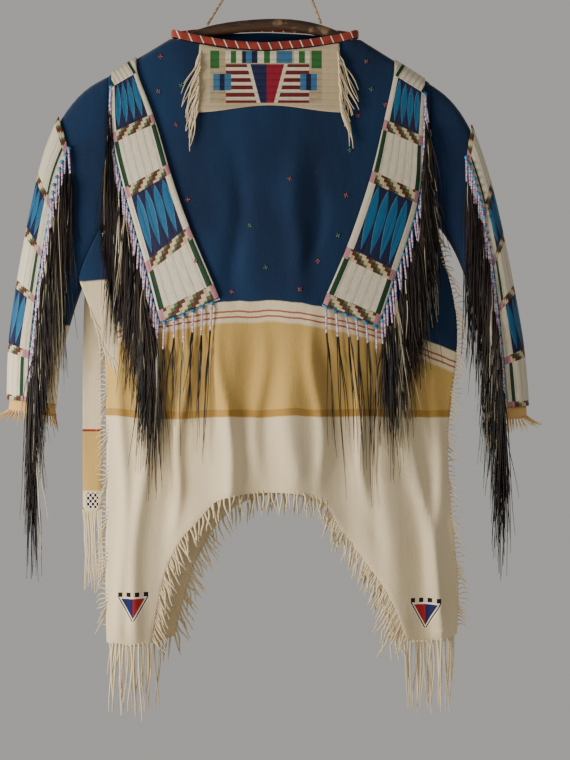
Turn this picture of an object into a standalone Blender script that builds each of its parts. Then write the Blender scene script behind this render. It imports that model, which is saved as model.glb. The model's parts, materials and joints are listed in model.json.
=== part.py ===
"""Painted hide war shirt with beaded strips, hair locks and cut fringe, on a bent branch hanger.

Front of the shirt faces -Y, +X is to the right seen from the front, +Z is up.
The origin is the top of the thong loop that the hanger hangs from. Sizes in metres.
Heights in the tables count from a point above the loop; build() moves all of it up to the origin.
"""
import bmesh
import bpy
import math
from collections import namedtuple
from mathutils import Matrix, Vector

# Driving sizes
HIDE = 0.002                # wall of the hide
STRIP_THICK = 0.0028        # beaded strip with its backing
BAND_THICK = 0.003          # cloth folded over the neck edge
BAND_HEIGHT = 0.0135
SEAM = 0.0004               # clearance between neighbouring pieces
LIE = 0.0017                # clearance under a piece that lies on a curved panel
STRIP_LIE = 0.0031          # clearance under a shoulder strip, which crosses the panel's rows
CREST_LIE = 0.0020          # and under it on the crest of the shoulder
BIB_LIE = 0.0013
SLEEVE_LIE = 0.0011
CREST = 0.016               # radius of the fold over the shoulder
NECK_LEFT = -0.177
NECK_RIGHT = 0.140
NECK_CORNER = 0.016         # length over which the neck slit opens from its tips
ARMPIT_Z = -0.586
BRANCH_RADIUS = 0.0105
THONG_DIAMETER = 0.004
FRONT_DEPTH = 0.028         # how far the chest stands forward of the side edges
BACK_DEPTH = 0.014
CUFF_LENGTH = 0.020
FRINGE_HEAD = 0.004         # height of the uncut strip above a fringe
LOCK_HEAD = 0.0035


def table(columns, *rows):
    """Rows of sizes with named columns."""
    Row = namedtuple("Row", columns)
    return [Row(*row) for row in rows]


# Outline of the body: both side edges at several heights
SIDES = table(
    "z left right",
    (-0.260, -0.279, 0.254),
    (-0.450, -0.279, 0.2565),
    (-0.586, -0.280, 0.262),
    (-0.718, -0.283, 0.298),
    (-0.790, -0.284, 0.303),
    (-0.949, -0.281, 0.284),
    (-1.147, -0.283, 0.299),
    (-1.213, -0.283, 0.305),
    (-1.300, -0.281, 0.298),
)
# Upper edge of the front: shoulder seam, neck edge, shoulder seam
FRONT_TOP = table(
    "x z",
    (-0.280, -0.343),
    (-0.177, -0.281),
    (-0.142, -0.289),
    (-0.080, -0.300),
    (-0.018, -0.304),
    (0.050, -0.299),
    (0.105, -0.290),
    (0.140, -0.282),
    (0.256, -0.355),
)
BACK_TOP = table(
    "x z",
    (-0.280, -0.343),
    (-0.177, -0.281),
    (-0.142, -0.276),
    (-0.080, -0.269),
    (-0.018, -0.267),
    (0.050, -0.270),
    (0.105, -0.277),
    (0.140, -0.282),
    (0.256, -0.355),
)
# Hem as a share of the width, from the left side edge to the right one
FRONT_HEM = table(
    "across z",
    (0.000, -1.286),
    (0.060, -1.293),
    (0.128, -1.288),
    (0.150, -1.213),
    (0.171, -1.163),
    (0.214, -1.114),
    (0.270, -1.081),
    (0.320, -1.048),
    (0.400, -1.038),
    (0.484, -1.035),
    (0.560, -1.037),
    (0.636, -1.050),
    (0.682, -1.106),
    (0.735, -1.147),
    (0.791, -1.196),
    (0.833, -1.246),
    (0.856, -1.278),
    (0.930, -1.283),
    (1.000, -1.272),
)
BACK_HEM = table(
    "across z",
    (0.000, -1.262),
    (0.050, -1.288),
    (0.120, -1.293),
    (0.190, -1.284),
    (0.212, -1.226),
    (0.245, -1.165),
    (0.300, -1.104),
    (0.370, -1.062),
    (0.440, -1.046),
    (0.500, -1.042),
    (0.560, -1.046),
    (0.630, -1.062),
    (0.700, -1.104),
    (0.755, -1.165),
    (0.788, -1.226),
    (0.810, -1.284),
    (0.880, -1.293),
    (0.950, -1.288),
    (1.000, -1.262),
)
# Folds of the hanging hide: x at the start, sideways lean for each metre down,
# half width, how far it stands out, and the heights where it starts and is full
FRONT_FOLDS = table(
    "x lean half_width rise start full",
    (-0.083, 0.02, 0.016, 0.013, -0.715, -0.800),
    (-0.040, 0.03, 0.026, -0.006, -0.740, -0.860),
    (0.032, -0.02, 0.022, 0.011, -0.720, -0.820),
    (0.088, 0.10, 0.024, -0.011, -0.760, -0.880),
    (0.150, 0.12, 0.024, 0.009, -0.800, -0.960),
    (0.232, 0.05, 0.022, -0.006, -0.930, -1.080),
    (-0.170, -0.05, 0.024, -0.008, -0.880, -1.020),
    (-0.232, -0.03, 0.020, 0.006, -0.960, -1.120),
)
BACK_FOLDS = table(
    "x lean half_width rise start full",
    (-0.130, -0.08, 0.026, 0.010, -0.620, -0.800),
    (-0.060, -0.04, 0.028, -0.008, -0.560, -0.760),
    (0.020, 0.02, 0.026, 0.012, -0.480, -0.700),
    (0.095, 0.06, 0.028, -0.009, -0.600, -0.800),
    (0.170, 0.10, 0.026, 0.009, -0.680, -0.860),
    (-0.215, -0.06, 0.024, -0.006, -0.820, -1.000),
    (0.245, 0.05, 0.022, -0.005, -0.860, -1.040),
)
# Sleeves, flattened tubes: outer and inner edge and half depth along the arm
LEFT_SLEEVE = table(
    "along outer_x outer_z inner_x inner_z half_depth",
    (0.00, -0.2794, -0.3430, -0.2806, -0.5860, 0.0160),
    (0.08, -0.3150, -0.3580, -0.2860, -0.5980, 0.0175),
    (0.17, -0.3560, -0.4050, -0.2960, -0.6230, 0.0195),
    (0.28, -0.3850, -0.4700, -0.3090, -0.6560, 0.0215),
    (0.41, -0.4020, -0.5450, -0.3200, -0.6900, 0.0230),
    (0.55, -0.4190, -0.6270, -0.3330, -0.7270, 0.0240),
    (0.70, -0.4330, -0.7090, -0.3460, -0.7720, 0.0240),
    (0.85, -0.4440, -0.7920, -0.3590, -0.8210, 0.0240),
    (1.00, -0.4460, -0.8820, -0.3650, -0.8900, 0.0230),
)
RIGHT_SLEEVE = table(
    "along outer_x outer_z inner_x inner_z half_depth",
    (0.00, 0.2553, -0.3550, 0.2624, -0.5860, 0.0160),
    (0.08, 0.2860, -0.3730, 0.2760, -0.6010, 0.0175),
    (0.17, 0.3200, -0.4180, 0.2930, -0.6270, 0.0195),
    (0.28, 0.3450, -0.4830, 0.3080, -0.6600, 0.0215),
    (0.41, 0.3650, -0.5570, 0.3200, -0.6940, 0.0230),
    (0.55, 0.3820, -0.6350, 0.3310, -0.7330, 0.0240),
    (0.70, 0.3980, -0.7180, 0.3400, -0.7790, 0.0240),
    (0.85, 0.4120, -0.8010, 0.3460, -0.8280, 0.0240),
    (1.00, 0.4190, -0.8930, 0.3480, -0.8960, 0.0230),
)
# Shoulder strips: both edges from the crest of the shoulder down the front
LEFT_STRIP = table(
    "down inner_x inner_z outer_x outer_z",
    (0.00, -0.2310, -0.3400, -0.2720, -0.3640),
    (0.24, -0.2000, -0.4180, -0.2700, -0.4500),
    (0.48, -0.1750, -0.5030, -0.2480, -0.5430),
    (0.73, -0.1450, -0.5900, -0.2170, -0.6500),
    (1.00, -0.0920, -0.7150, -0.1900, -0.7550),
)
RIGHT_STRIP = table(
    "down inner_x inner_z outer_x outer_z",
    (0.00, 0.1960, -0.3440, 0.2460, -0.3750),
    (0.24, 0.1770, -0.4280, 0.2420, -0.4560),
    (0.48, 0.1560, -0.5150, 0.2360, -0.5500),
    (0.73, 0.1190, -0.6250, 0.2000, -0.6650),
    (1.00, 0.0760, -0.7250, 0.1680, -0.7600),
)
# Sleeve strips: distance of both edges round the sleeve from its outer edge,
# the front counting up
SLEEVE_STRIP = table(
    "along outer inner",
    (0.10, 0.004, 0.070),
    (0.30, 0.000, 0.068),
    (0.60, -0.012, 0.056),
    (1.00, -0.018, 0.048),
)
# Bent branch, centre line
BRANCH = table(
    "x z",
    (-0.236, -0.3326),
    (-0.208, -0.3151),
    (-0.180, -0.2995),
    (-0.163, -0.2945),
    (-0.140, -0.2790),
    (-0.115, -0.2695),
    (-0.080, -0.2625),
    (-0.040, -0.2580),
    (0.005, -0.2562),
    (0.040, -0.2590),
    (0.075, -0.2665),
    (0.102, -0.2770),
    (0.126, -0.2955),
    (0.143, -0.3010),
    (0.172, -0.3181),
    (0.206, -0.3401),
)
THONG_LEFT_X = -0.115
THONG_RIGHT_X = 0.075
THONG_BEND = 0.012          # radius of the loop over its peg
LOOP_TOP = -0.080           # top of the loop in the heights of the tables

COLOURS = table(
    "name red green blue roughness",
    ("painted_hide", 0.045, 0.13, 0.32, 0.85),
    ("pale_hide", 0.70, 0.60, 0.46, 0.85),
    ("tan_hide", 0.55, 0.36, 0.15, 0.85),
    ("red_cloth", 0.33, 0.05, 0.03, 0.9),
    ("beadwork", 0.62, 0.60, 0.52, 0.4),
    ("hair", 0.012, 0.010, 0.010, 0.5),
    ("wood", 0.055, 0.028, 0.016, 0.6),
    ("thong", 0.42, 0.30, 0.17, 0.8),
)


def smooth(value):
    """0 below 0, 1 above 1, soft between."""
    value = min(max(value, 0.0), 1.0)
    return value * value * (3.0 - 2.0 * value)


def look_up(rows, key, value, wanted, curved=True):
    """Read one column of a table between its rows, on a smooth or a straight line."""
    keys = [getattr(row, key) for row in rows]
    data = [getattr(row, wanted) for row in rows]
    if keys[0] > keys[-1]:
        keys.reverse()
        data.reverse()
    if value <= keys[0]:
        return data[0]
    if value >= keys[-1]:
        return data[-1]
    i = max(n for n in range(len(keys) - 1) if keys[n] <= value)
    span = keys[i + 1] - keys[i]
    share = (value - keys[i]) / span
    if not curved:
        return data[i] + (data[i + 1] - data[i]) * share

    def slope(n):
        low = max(n - 1, 0)
        high = min(n + 1, len(keys) - 1)
        return (data[high] - data[low]) / (keys[high] - keys[low])

    start = slope(i) * span
    end = slope(i + 1) * span
    rise = data[i + 1] - data[i]
    return (data[i] + start * share
            + (3 * rise - 2 * start - end) * share ** 2
            + (start + end - 2 * rise) * share ** 3)


# The body's surface

def across(share, z):
    """x at a share of the body's width, at a height."""
    left = look_up(SIDES, "z", z, "left")
    right = look_up(SIDES, "z", z, "right")
    return left + share * (right - left)


def share_of(x, z):
    left = look_up(SIDES, "z", z, "left")
    right = look_up(SIDES, "z", z, "right")
    return (x - left) / (right - left)


def neck_open(x):
    """0 on the shoulders, 1 where the neck slit is fully open."""
    inside = min(x - NECK_LEFT, NECK_RIGHT - x)
    return smooth(inside / NECK_CORNER)


def crest_z(x, face):
    """Top of the fold that the surface would make at x; face is -1 front, 1 back."""
    top = FRONT_TOP if face < 0 else BACK_TOP
    angle = neck_open(x) * math.pi / 2
    return look_up(top, "x", x, "z", curved=False) + CREST * (1 - math.cos(angle))


def depth_at(x, z, face):
    """How far the panel stands from the middle plane."""
    share = min(max(share_of(x, z), 0.0), 1.0)
    drop = smooth((-0.30 - z) / 0.30)
    full = FRONT_DEPTH if face < 0 else BACK_DEPTH
    hollow = 1 - 0.45 * smooth((-0.90 - z) / 0.35)
    depth = CREST + full * drop * hollow * math.sin(math.pi * share) ** 0.8
    for fold in (FRONT_FOLDS if face < 0 else BACK_FOLDS):
        grown = smooth((fold.start - z) / (fold.start - fold.full))
        centre = fold.x + fold.lean * (fold.start - z)
        depth += fold.rise * grown * math.exp(-((x - centre) / fold.half_width) ** 2)
    return depth


def path_at(x, z, face):
    """Distance down the panel from the crest at height z, below the fold."""
    return math.pi / 2 * CREST + crest_z(x, face) - CREST - z


def body_surface(x, path, face, crest_x=None):
    """Outer surface of the body, by the distance down from the crest."""
    top = crest_z(x if crest_x is None else crest_x, face)
    quarter = math.pi / 2 * CREST
    if path < quarter:
        angle = path / CREST
        return Vector((x, face * CREST * math.sin(angle), top - CREST + CREST * math.cos(angle)))
    z = top - CREST - (path - quarter)
    return Vector((x, face * depth_at(x, z, face), z))


def lifted(surface, a, b, lift, face):
    """A point of a surface moved out along its normal."""
    step = 0.0015
    point = surface(a, b)
    if lift == 0.0:
        return point
    along_a = surface(a + step, b) - surface(a - step, b)
    along_b = surface(a, b + step) - surface(a, b - step)
    normal = along_b.cross(along_a).normalized() * -face
    return point + normal * lift


def on_body(x, z, face, lift):
    """A point on the front or back panel, moved out, at x and height z."""
    return lifted(lambda a, b: body_surface(a, b, face), x, path_at(x, z, face), lift, face)


# Sleeve surfaces

def sleeve_frame(rows, along):
    """Centres of both round edges, the direction between them, half depth and flat length."""
    def read(name):
        return look_up(rows, "along", along, name)
    outer = Vector((read("outer_x"), 0, read("outer_z")))
    inner = Vector((read("inner_x"), 0, read("inner_z")))
    radius = read("half_depth")
    inward = (inner - outer).normalized()
    flat = (inner - outer).length - 2 * radius
    return outer + inward * radius, inner - inward * radius, inward, radius, flat


def sleeve_surface(rows, along, around, drop=0.0):
    """Outer surface; around is counted from the outer edge, the front counting up."""
    outer, inner, inward, radius, flat = sleeve_frame(rows, along)
    girth = 2 * flat + 2 * math.pi * radius
    half = girth / 2
    around = (around + half) % girth - half
    front = Vector((0, -1, 0)) * (1 if around >= 0 else -1)
    way = abs(around)
    quarter = math.pi / 2 * radius
    if way < quarter:
        angle = way / radius
        point = outer - inward * radius * math.cos(angle) + front * radius * math.sin(angle)
    elif way < quarter + flat:
        point = outer + inward * (way - quarter) + front * radius
    else:
        angle = (way - quarter - flat) / radius
        point = inner + inward * radius * math.sin(angle) + front * radius * math.cos(angle)
    down = inward.cross(Vector((0, 1, 0)))
    if down.z > 0:
        down.negate()
    return point + down * drop


def sleeve_girth(rows, along):
    outer, inner, inward, radius, flat = sleeve_frame(rows, along)
    return 2 * flat + 2 * math.pi * radius


def on_sleeve(rows, along, around, lift):
    """A point on a sleeve, moved out from it."""
    step = 0.001
    point = sleeve_surface(rows, along, around)
    middle_a, middle_b, inward, radius, flat = sleeve_frame(rows, along)
    tangent = (sleeve_surface(rows, along, around + step)
               - sleeve_surface(rows, along, around - step))
    reach = 0.01
    arm = (sleeve_surface(rows, min(along + reach, 1.0), around)
           - sleeve_surface(rows, max(along - reach, 0.0), around))
    normal = tangent.cross(arm).normalized()
    centre = (middle_a + middle_b) / 2
    if normal.dot(Vector((point.x - centre.x, point.y * 4, point.z - centre.z))) < 0:
        normal.negate()
    return point + normal * lift


# Making pieces

def start():
    """Remove what the scene holds and make the collection of the shirt."""
    for obj in list(bpy.data.objects):
        bpy.data.objects.remove(obj, do_unlink=True)
    shirt = bpy.data.collections.new("fringe_shirt")
    bpy.context.scene.collection.children.link(shirt)
    return shirt


def finish_of(name):
    """Principled material of a named finish."""
    known = bpy.data.materials.get(name)
    if known:
        return known
    colour = next(row for row in COLOURS if row.name == name)
    material = bpy.data.materials.new(name)
    material.use_nodes = True
    shader = material.node_tree.nodes["Principled BSDF"]
    shader.inputs["Base Color"].default_value = (colour.red, colour.green, colour.blue, 1)
    shader.inputs["Roughness"].default_value = colour.roughness
    shader.inputs["Metallic"].default_value = 0.0
    return material


def add_object(name, bm, finish):
    mesh = bpy.data.meshes.new(name)
    bm.to_mesh(mesh)
    bm.free()
    mesh.materials.append(finish_of(finish))
    obj = bpy.data.objects.new(name, mesh)
    SHIRT.objects.link(obj)
    mesh.shade_smooth()
    return obj


def cloth(name, columns, rows, place, wall, offset, finish, flip=False, joined=False):
    """A grid laid on a surface by place(column, row), then given its wall.

    Without flip the outside is where columns run right and rows run up.
    """
    bm = bmesh.new()
    bmesh.ops.create_grid(bm, x_segments=columns, y_segments=rows, size=1.0)
    for vert in bm.verts:
        column = round((vert.co.x + 1) / 2 * columns)
        row = round((vert.co.y + 1) / 2 * rows)
        vert.co = place(column, row)
    if joined:
        bmesh.ops.remove_doubles(bm, verts=bm.verts[:], dist=1e-6)
    if flip:
        bmesh.ops.reverse_faces(bm, faces=bm.faces[:])
    obj = add_object(name, bm, finish)
    shell = obj.modifiers.new("wall", "SOLIDIFY")
    shell.thickness = wall
    shell.offset = offset
    return obj


def comb(name, tops, bottoms, normals, strand, thick, finish):
    """A narrow strip cut into strands along its lower edge, as one closed body.

    strand(cell, root, away) gives the rings of a strand: centre, half width, half depth.
    """
    cells = len(tops) - 1
    bm = bmesh.new()
    place = bm.verts.layers.int.new("place")
    edge = bm.verts.layers.int.new("edge")
    layer = bm.verts.layers.int.new("layer")
    bmesh.ops.create_grid(bm, x_segments=cells, y_segments=1, size=1.0)
    for vert in bm.verts:
        vert[place] = round((vert.co.x + 1) / 2 * cells)
        vert[edge] = 1 if vert.co.y < 0 else 0
        vert.co = (bottoms if vert[edge] else tops)[vert[place]]
    made = bmesh.ops.extrude_face_region(bm, geom=bm.faces[:])
    for vert in made["geom"]:
        if isinstance(vert, bmesh.types.BMVert):
            vert.co += normals[vert[place]] * thick
            vert[layer] = 1
    roots = [face for face in bm.faces if all(vert[edge] for vert in face.verts)]
    for root in sorted(roots, key=lambda face: min(vert[place] for vert in face.verts)):
        cell = min(vert[place] for vert in root.verts)
        if cell % 2:
            continue
        corners = [(vert.co.copy(), 1 if vert[place] > cell else -1, 1 if vert[layer] else -1)
                   for vert in root.verts]
        grow_strand(bm, root, cell, corners, tops, bottoms, normals, strand)
    bmesh.ops.recalc_face_normals(bm, faces=bm.faces[:])
    if bm.calc_volume(signed=True) < 0:
        bmesh.ops.reverse_faces(bm, faces=bm.faces[:])
    return add_object(name, bm, finish)


def grow_strand(bm, root, cell, corners, tops, bottoms, normals, strand):
    """Extrude one strand; corners are the root's points with their sides of its middle."""
    centre = root.calc_center_median()
    tangent = (bottoms[cell + 1] - bottoms[cell]).normalized()
    normal = normals[cell].normalized()
    away = ((bottoms[cell] + bottoms[cell + 1]) - (tops[cell] + tops[cell + 1])).normalized()
    sense = 1 if tangent.dot(normal.cross(away)) > 0 else -1
    face = root
    last = centre
    for point, half_width, half_depth in strand(cell, centre, away):
        face = bmesh.ops.extrude_discrete_faces(bm, faces=[face])["faces"][0]
        way = (point - last).normalized()
        side = normal.cross(way).normalized() * sense
        moved = []
        for vert in face.verts:
            old = min(corners, key=lambda corner: (corner[0] - vert.co).length)
            vert.co = point + side * half_width * old[1] + normal * half_depth * old[2]
            moved.append((vert.co.copy(), old[1], old[2]))
        corners = moved
        last = point


def strip_of_cells(points, normals, spacing, head, turn, gap=SEAM):
    """Upper and lower edge of a fringe head that follows an edge of cloth, in pairs of cells.

    spacing(point) is the distance between strands there.
    """
    ways = [(points[i + 1] - points[i]).normalized() for i in range(len(points) - 1)]
    downs = [ways[i].cross(normals[i]).normalized() * turn for i in range(len(ways))]
    tops = []
    bottoms = []
    outs = []

    def add(point, down, normal):
        tops.append(point + down * gap)
        bottoms.append(point + down * (gap + head))
        outs.append(normal)

    for i in range(len(ways)):
        before = downs[max(i - 1, 0)]
        after = downs[min(i + 1, len(downs) - 1)]
        start_down = (before + downs[i]).normalized()
        end_down = (downs[i] + after).normalized()
        length = (points[i + 1] - points[i]).length
        pairs = max(1, round(length / spacing((points[i] + points[i + 1]) / 2)))
        for cell in range(2 * pairs):
            share = cell / (2 * pairs)
            down = start_down.lerp(end_down, share).normalized()
            add(points[i].lerp(points[i + 1], share), down,
                normals[i].lerp(normals[i + 1], share).normalized())
    add(points[-1], downs[-1], normals[-1])
    return tops, bottoms, outs


# Body

CREST_SHARE = 0.027         # share of a panel's length that bends over the shoulder
PANEL_ROWS = 13
ROW_SHARES = [CREST_SHARE * k / 3 for k in range(3)]
ROW_SHARES += [CREST_SHARE + (1 - CREST_SHARE) * k / PANEL_ROWS for k in range(PANEL_ROWS + 1)]


WIDEST_COLUMN = 0.046       # as a share of the body's width


def panel_columns(hem):
    """Shares of the width where the panel's columns run: hem points, neck tips, and between."""
    width_top = across(1, -0.26) - across(0, -0.26)
    marks = [row.across for row in hem]
    for x in (NECK_LEFT, NECK_LEFT + NECK_CORNER / 2, NECK_LEFT + NECK_CORNER,
              NECK_RIGHT - NECK_CORNER, NECK_RIGHT - NECK_CORNER / 2, NECK_RIGHT):
        share = (x - across(0, -0.26)) / width_top
        marks = [mark for mark in marks if abs(mark - share) > 0.011 or mark in (0, 1)]
        marks.append(share)
    marks.sort()
    columns = [marks[0]]
    for low, high in zip(marks, marks[1:]):
        parts = math.ceil((high - low) / WIDEST_COLUMN)
        columns += [low + (high - low) * k / parts for k in range(1, parts + 1)]
    return columns


def panel_point(share, down, face, hem):
    """Outer surface of a panel: share of the width, share of the way from top to hem."""
    top_x = across(share, -0.26)
    top = crest_z(top_x, face)
    quarter = math.pi / 2 * CREST
    first = max(neck_open(top_x) * quarter, 2 * SEAM)
    last = quarter + top - CREST - look_up(hem, "across", share, "z", curved=False)
    path = first + (last - first) * down
    z = min(top - CREST - (path - quarter), top - CREST)
    return body_surface(across(share, z), path, face, crest_x=top_x)


def body_panel(name, face, hem):
    columns = panel_columns(hem)
    rows = len(ROW_SHARES) - 1

    def place(column, row):
        return panel_point(columns[column], ROW_SHARES[rows - row], face, hem)

    return cloth(name, len(columns) - 1, rows, place, HIDE, -1, "painted_hide", flip=face > 0)


TAB_FRINGE_Z = -1.262       # the hem below this carries the long fringe of the tabs
TAB_SPACING = 0.0125
HEM_SPACING = 0.026
FRONT_HEM_GAP = 0.0014      # the front's folds make its corners less even
BACK_HEM_GAP = 0.0009


def hem_strand(face, hem):
    """Fringe of the hem: long under the tabs, shorter round the arch."""
    def strand(cell, root, away):
        share = share_of(root.x, root.z)
        edge = min(share, 1 - share)
        tab = 1 - smooth((edge - 0.13) / 0.03)
        straight = smooth((away.z * -1 - 0.5) / 0.4)
        length = 0.036 + 0.085 * tab * straight + 0.007 * math.sin(cell * 2.3)
        sway = 0.006 * math.sin(cell * 0.25)
        layer = face * 0.0030 * (cell // 2 % 2)
        first = root + away * 0.006 + Vector((0, layer * 0.5, -0.004))
        end = first + away * 0.016 * (1 - straight) + Vector((sway, layer, -length))
        return [(first, 0.0022, 0.0010), (end, 0.0013, 0.0008)]
    return strand


def hem_fringe(name, face, hem):
    columns = panel_columns(hem)
    points = [panel_point(share, 1.0, face, hem) for share in columns]
    inward = Vector((0, -face, 0))
    points = [point + inward * 0.0002 for point in points]
    normals = [inward] * len(points)

    def spacing(point):
        return TAB_SPACING if point.z < TAB_FRINGE_Z else HEM_SPACING

    tops, bottoms, outs = strip_of_cells(points, normals, spacing, FRINGE_HEAD, face,
                                         gap=FRONT_HEM_GAP if face < 0 else BACK_HEM_GAP)
    return comb(name, tops, bottoms, outs, hem_strand(face, hem), 0.0016, "pale_hide")


def side_fringe(name, side):
    """Short curled fringe on the open side edge of the front."""
    share = 0 if side < 0 else 1
    points = [panel_point(share, down, -1, FRONT_HEM) for down in ROW_SHARES]
    points = [point + Vector((0, 0.0002, 0)) for point in points
              if ARMPIT_Z - 0.02 > point.z > -1.262]
    normals = [Vector((0, 1, 0))] * len(points)
    tops, bottoms, outs = strip_of_cells(points, normals, lambda point: 0.046, FRINGE_HEAD, side)

    def strand(cell, root, away):
        reach = 0.016 + 0.004 * math.sin(cell * 1.9)
        first = root + away * 0.006 + Vector((0, 0, -0.003))
        end = first + away * (reach - 0.006) + Vector((0, -0.002, -0.016))
        return [(first, 0.0024, 0.0009), (end, 0.0012, 0.0006)]

    return comb(name, tops, bottoms, outs, strand, 0.0016, "pale_hide")


# Pieces that lie on the body

STRIP_CREST = 0.10          # share of a strip's way that bends over the crest
STRIP_LONG_ROWS = 8
STRIP_WAYS = [STRIP_CREST * k / 3 for k in range(1, 4)]
STRIP_WAYS += [STRIP_CREST + (1 - STRIP_CREST) * k / STRIP_LONG_ROWS
               for k in range(1, STRIP_LONG_ROWS + 1)]
STRIP_WAYS = [-way for way in reversed(STRIP_WAYS)] + [0.0] + STRIP_WAYS


def strip_point(rows, way, across_share, lift):
    """Point of a shoulder strip: way runs from -1 at the front end to 1 at the back end."""
    face = -1 if way < 0 else 1
    way = abs(way)
    down = max(0.0, (way - STRIP_CREST) / (1 - STRIP_CREST))

    def read(name):
        return look_up(rows, "down", down, name)

    x = read("inner_x") + (read("outer_x") - read("inner_x")) * across_share
    z = read("inner_z") + (read("outer_z") - read("inner_z")) * across_share
    path = path_at(x, z, face)
    if way < STRIP_CREST:
        path = path * way / STRIP_CREST
    return lifted(lambda a, b: body_surface(a, b, face), x, path, lift, face)


def strip_lie(way):
    """Clearance under the strip: least where it bends over the shoulder."""
    return CREST_LIE + (STRIP_LIE - CREST_LIE) * smooth((abs(way) - STRIP_CREST) / STRIP_CREST)


def shoulder_strip(name, rows, mirrored):
    columns = 3

    def place(column, row):
        return strip_point(rows, STRIP_WAYS[row], column / columns, strip_lie(STRIP_WAYS[row]))

    return cloth(name, columns, len(STRIP_WAYS) - 1, place, STRIP_THICK, 1, "beadwork",
                 flip=not mirrored)


def bib_point(share, down, lift):
    """Neck flap on the chest, a little wider below."""
    left = -0.127 - 0.006 * down
    right = 0.105 + 0.006 * down
    x = left + (right - left) * share
    top = look_up(FRONT_TOP, "x", x, "z", curved=False) - 0.0015
    bottom = -0.402 + 0.006 * math.cos(math.pi * (2 * share - 1))
    return on_body(x, top + (bottom - top) * down, -1, lift)


def bib():
    columns = 14
    rows = 6

    def place(column, row):
        return bib_point(column / columns, 1 - row / rows, BIB_LIE)

    return cloth("bib_flap", columns, rows, place, HIDE, 1, "pale_hide")


BIB_FRINGE_CLEAR = 0.0048    # middle of the side fringe of the flap in front of the chest


def bib_fringe(name, side):
    share = 0 if side < 0 else 1
    steps = 9
    points = [bib_point(share, 0.10 + 0.88 * step / steps, BIB_LIE + 0.0002) for step in range(steps + 1)]
    normals = [Vector((0, -1, 0))] * len(points)
    tops, bottoms, outs = strip_of_cells(points, normals, lambda point: 0.02, FRINGE_HEAD, -side)

    def strand(cell, root, away):
        length = 0.044 + 0.004 * math.sin(cell * 1.3)
        layer = -0.0030 * (cell // 2 % 2)
        first = root + away * 0.006 + Vector((0, layer * 0.5, -0.004))
        end = first + away * 0.65 * length + Vector((0, 0, -0.76 * length))
        end.y = layer - depth_at(end.x, end.z, -1) - BIB_FRINGE_CLEAR
        first.y = layer - depth_at(first.x, first.z, -1) - BIB_FRINGE_CLEAR
        return [(first, 0.0022, 0.0010), (end, 0.0013, 0.0007)]

    return comb(name, tops, bottoms, outs, strand, 0.0016, "pale_hide")


def neck_binding():
    """Band that stands along the neck slit, a closed ring."""
    count = 22
    rows = 2
    left = NECK_LEFT + 0.003
    right = NECK_RIGHT - 0.003

    def place(column, row):
        face = -1 if column <= count else 1
        turn = column / count if face < 0 else 2 - column / count
        x = (left + right) / 2 - (right - left) / 2 * math.cos(math.pi * turn)
        inside = min(min(x - left, right - x) / NECK_CORNER, 1.0)
        y = face * (CREST - HIDE / 2) * math.sqrt(1 - (1 - inside) ** 2)
        top = FRONT_TOP if face < 0 else BACK_TOP
        low = look_up(top, "x", x, "z", curved=False)
        higher = max(look_up(FRONT_TOP, "x", x, "z", curved=False),
                     look_up(BACK_TOP, "x", x, "z", curved=False))
        low = higher + (low - higher) * smooth(inside)
        return Vector((x, y, low + SEAM + 0.0004 + BAND_HEIGHT * row / rows))

    return cloth("neck_binding", 2 * count, rows, place, BAND_THICK, 0, "red_cloth", joined=True)


# Hair locks

LOCK_CLEAR = 0.012          # middle of a lock in front of the hide below it
LOCK_APART = 0.0095         # sideways distance between neighbouring locks


def lock_strand(length, drift):
    """Wrapped stems with hair locks that hang just off the cloth, side by side."""
    last = {-1: None, 1: None}

    def strand(cell, root, away):
        face = -1 if root.y < 0 else 1
        taken = last[face]
        if abs(root.y) < CREST * 1.1 or (taken is not None and abs(root.x - taken) < LOCK_APART):
            return []
        last[face] = root.x
        full = length + 0.03 * math.sin(cell * 1.1)

        def hang(fallen, half_width, half_depth, out=0.0):
            x = root.x + away.x * 0.006 + drift * fallen / full
            z = root.z - fallen
            reach = max(depth_at(x, z, face), 0.026) + LOCK_CLEAR + out
            y = face * max(abs(root.y) + 0.002, reach if fallen > 0.03 else abs(root.y) + 0.005)
            return Vector((x, y, z)), half_width, half_depth

        return [hang(0.008, 0.0018, 0.0014), hang(0.046, 0.0026, 0.0022),
                hang(0.150, 0.0036, 0.0034), hang(full, 0.0012, 0.0010, 0.003)]
    return strand


def shoulder_locks(name, rows, mirrored):
    """Locks along the outer edge and the lower ends of a shoulder strip, both sides."""
    turn = 1 if mirrored else -1
    end_steps = 3
    points = []
    normals = []

    def add(way, share):
        point = strip_point(rows, way, share, strip_lie(way))
        out = strip_point(rows, way, share, strip_lie(way) + 0.001)
        points.append(point)
        normals.append((out - point).normalized())

    for step in range(end_steps):
        add(-1, step / end_steps)
    for way in STRIP_WAYS:
        add(way, 1.0)
    for step in range(1, end_steps + 1):
        add(1, 1 - step / end_steps)
    tops, bottoms, outs = strip_of_cells(points, normals, lambda point: 0.05, LOCK_HEAD, turn, gap=0.0006)

    return comb(name, tops, bottoms, outs, lock_strand(0.27, turn * 0.010), 0.0018, "hair")


# Sleeves and what they carry

SLEEVE_RINGS = 11
ROUND_CELLS = 5
FLAT_CELLS = 4


def ring_distances(rows, along):
    """Distances round a sleeve where its lengthwise edges run."""
    outer, inner, inward, radius, flat = sleeve_frame(rows, along)
    half_turn = math.pi * radius
    girth = 2 * flat + 2 * half_turn
    marks = [-half_turn / 2 + half_turn * k / ROUND_CELLS for k in range(ROUND_CELLS)]
    marks += [half_turn / 2 + flat * k / FLAT_CELLS for k in range(FLAT_CELLS)]
    marks += [half_turn / 2 + flat + half_turn * k / ROUND_CELLS for k in range(ROUND_CELLS)]
    marks += [half_turn * 1.5 + flat + flat * k / FLAT_CELLS for k in range(FLAT_CELLS)]
    return [mark if mark < girth / 2 else mark - girth for mark in marks]


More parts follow.
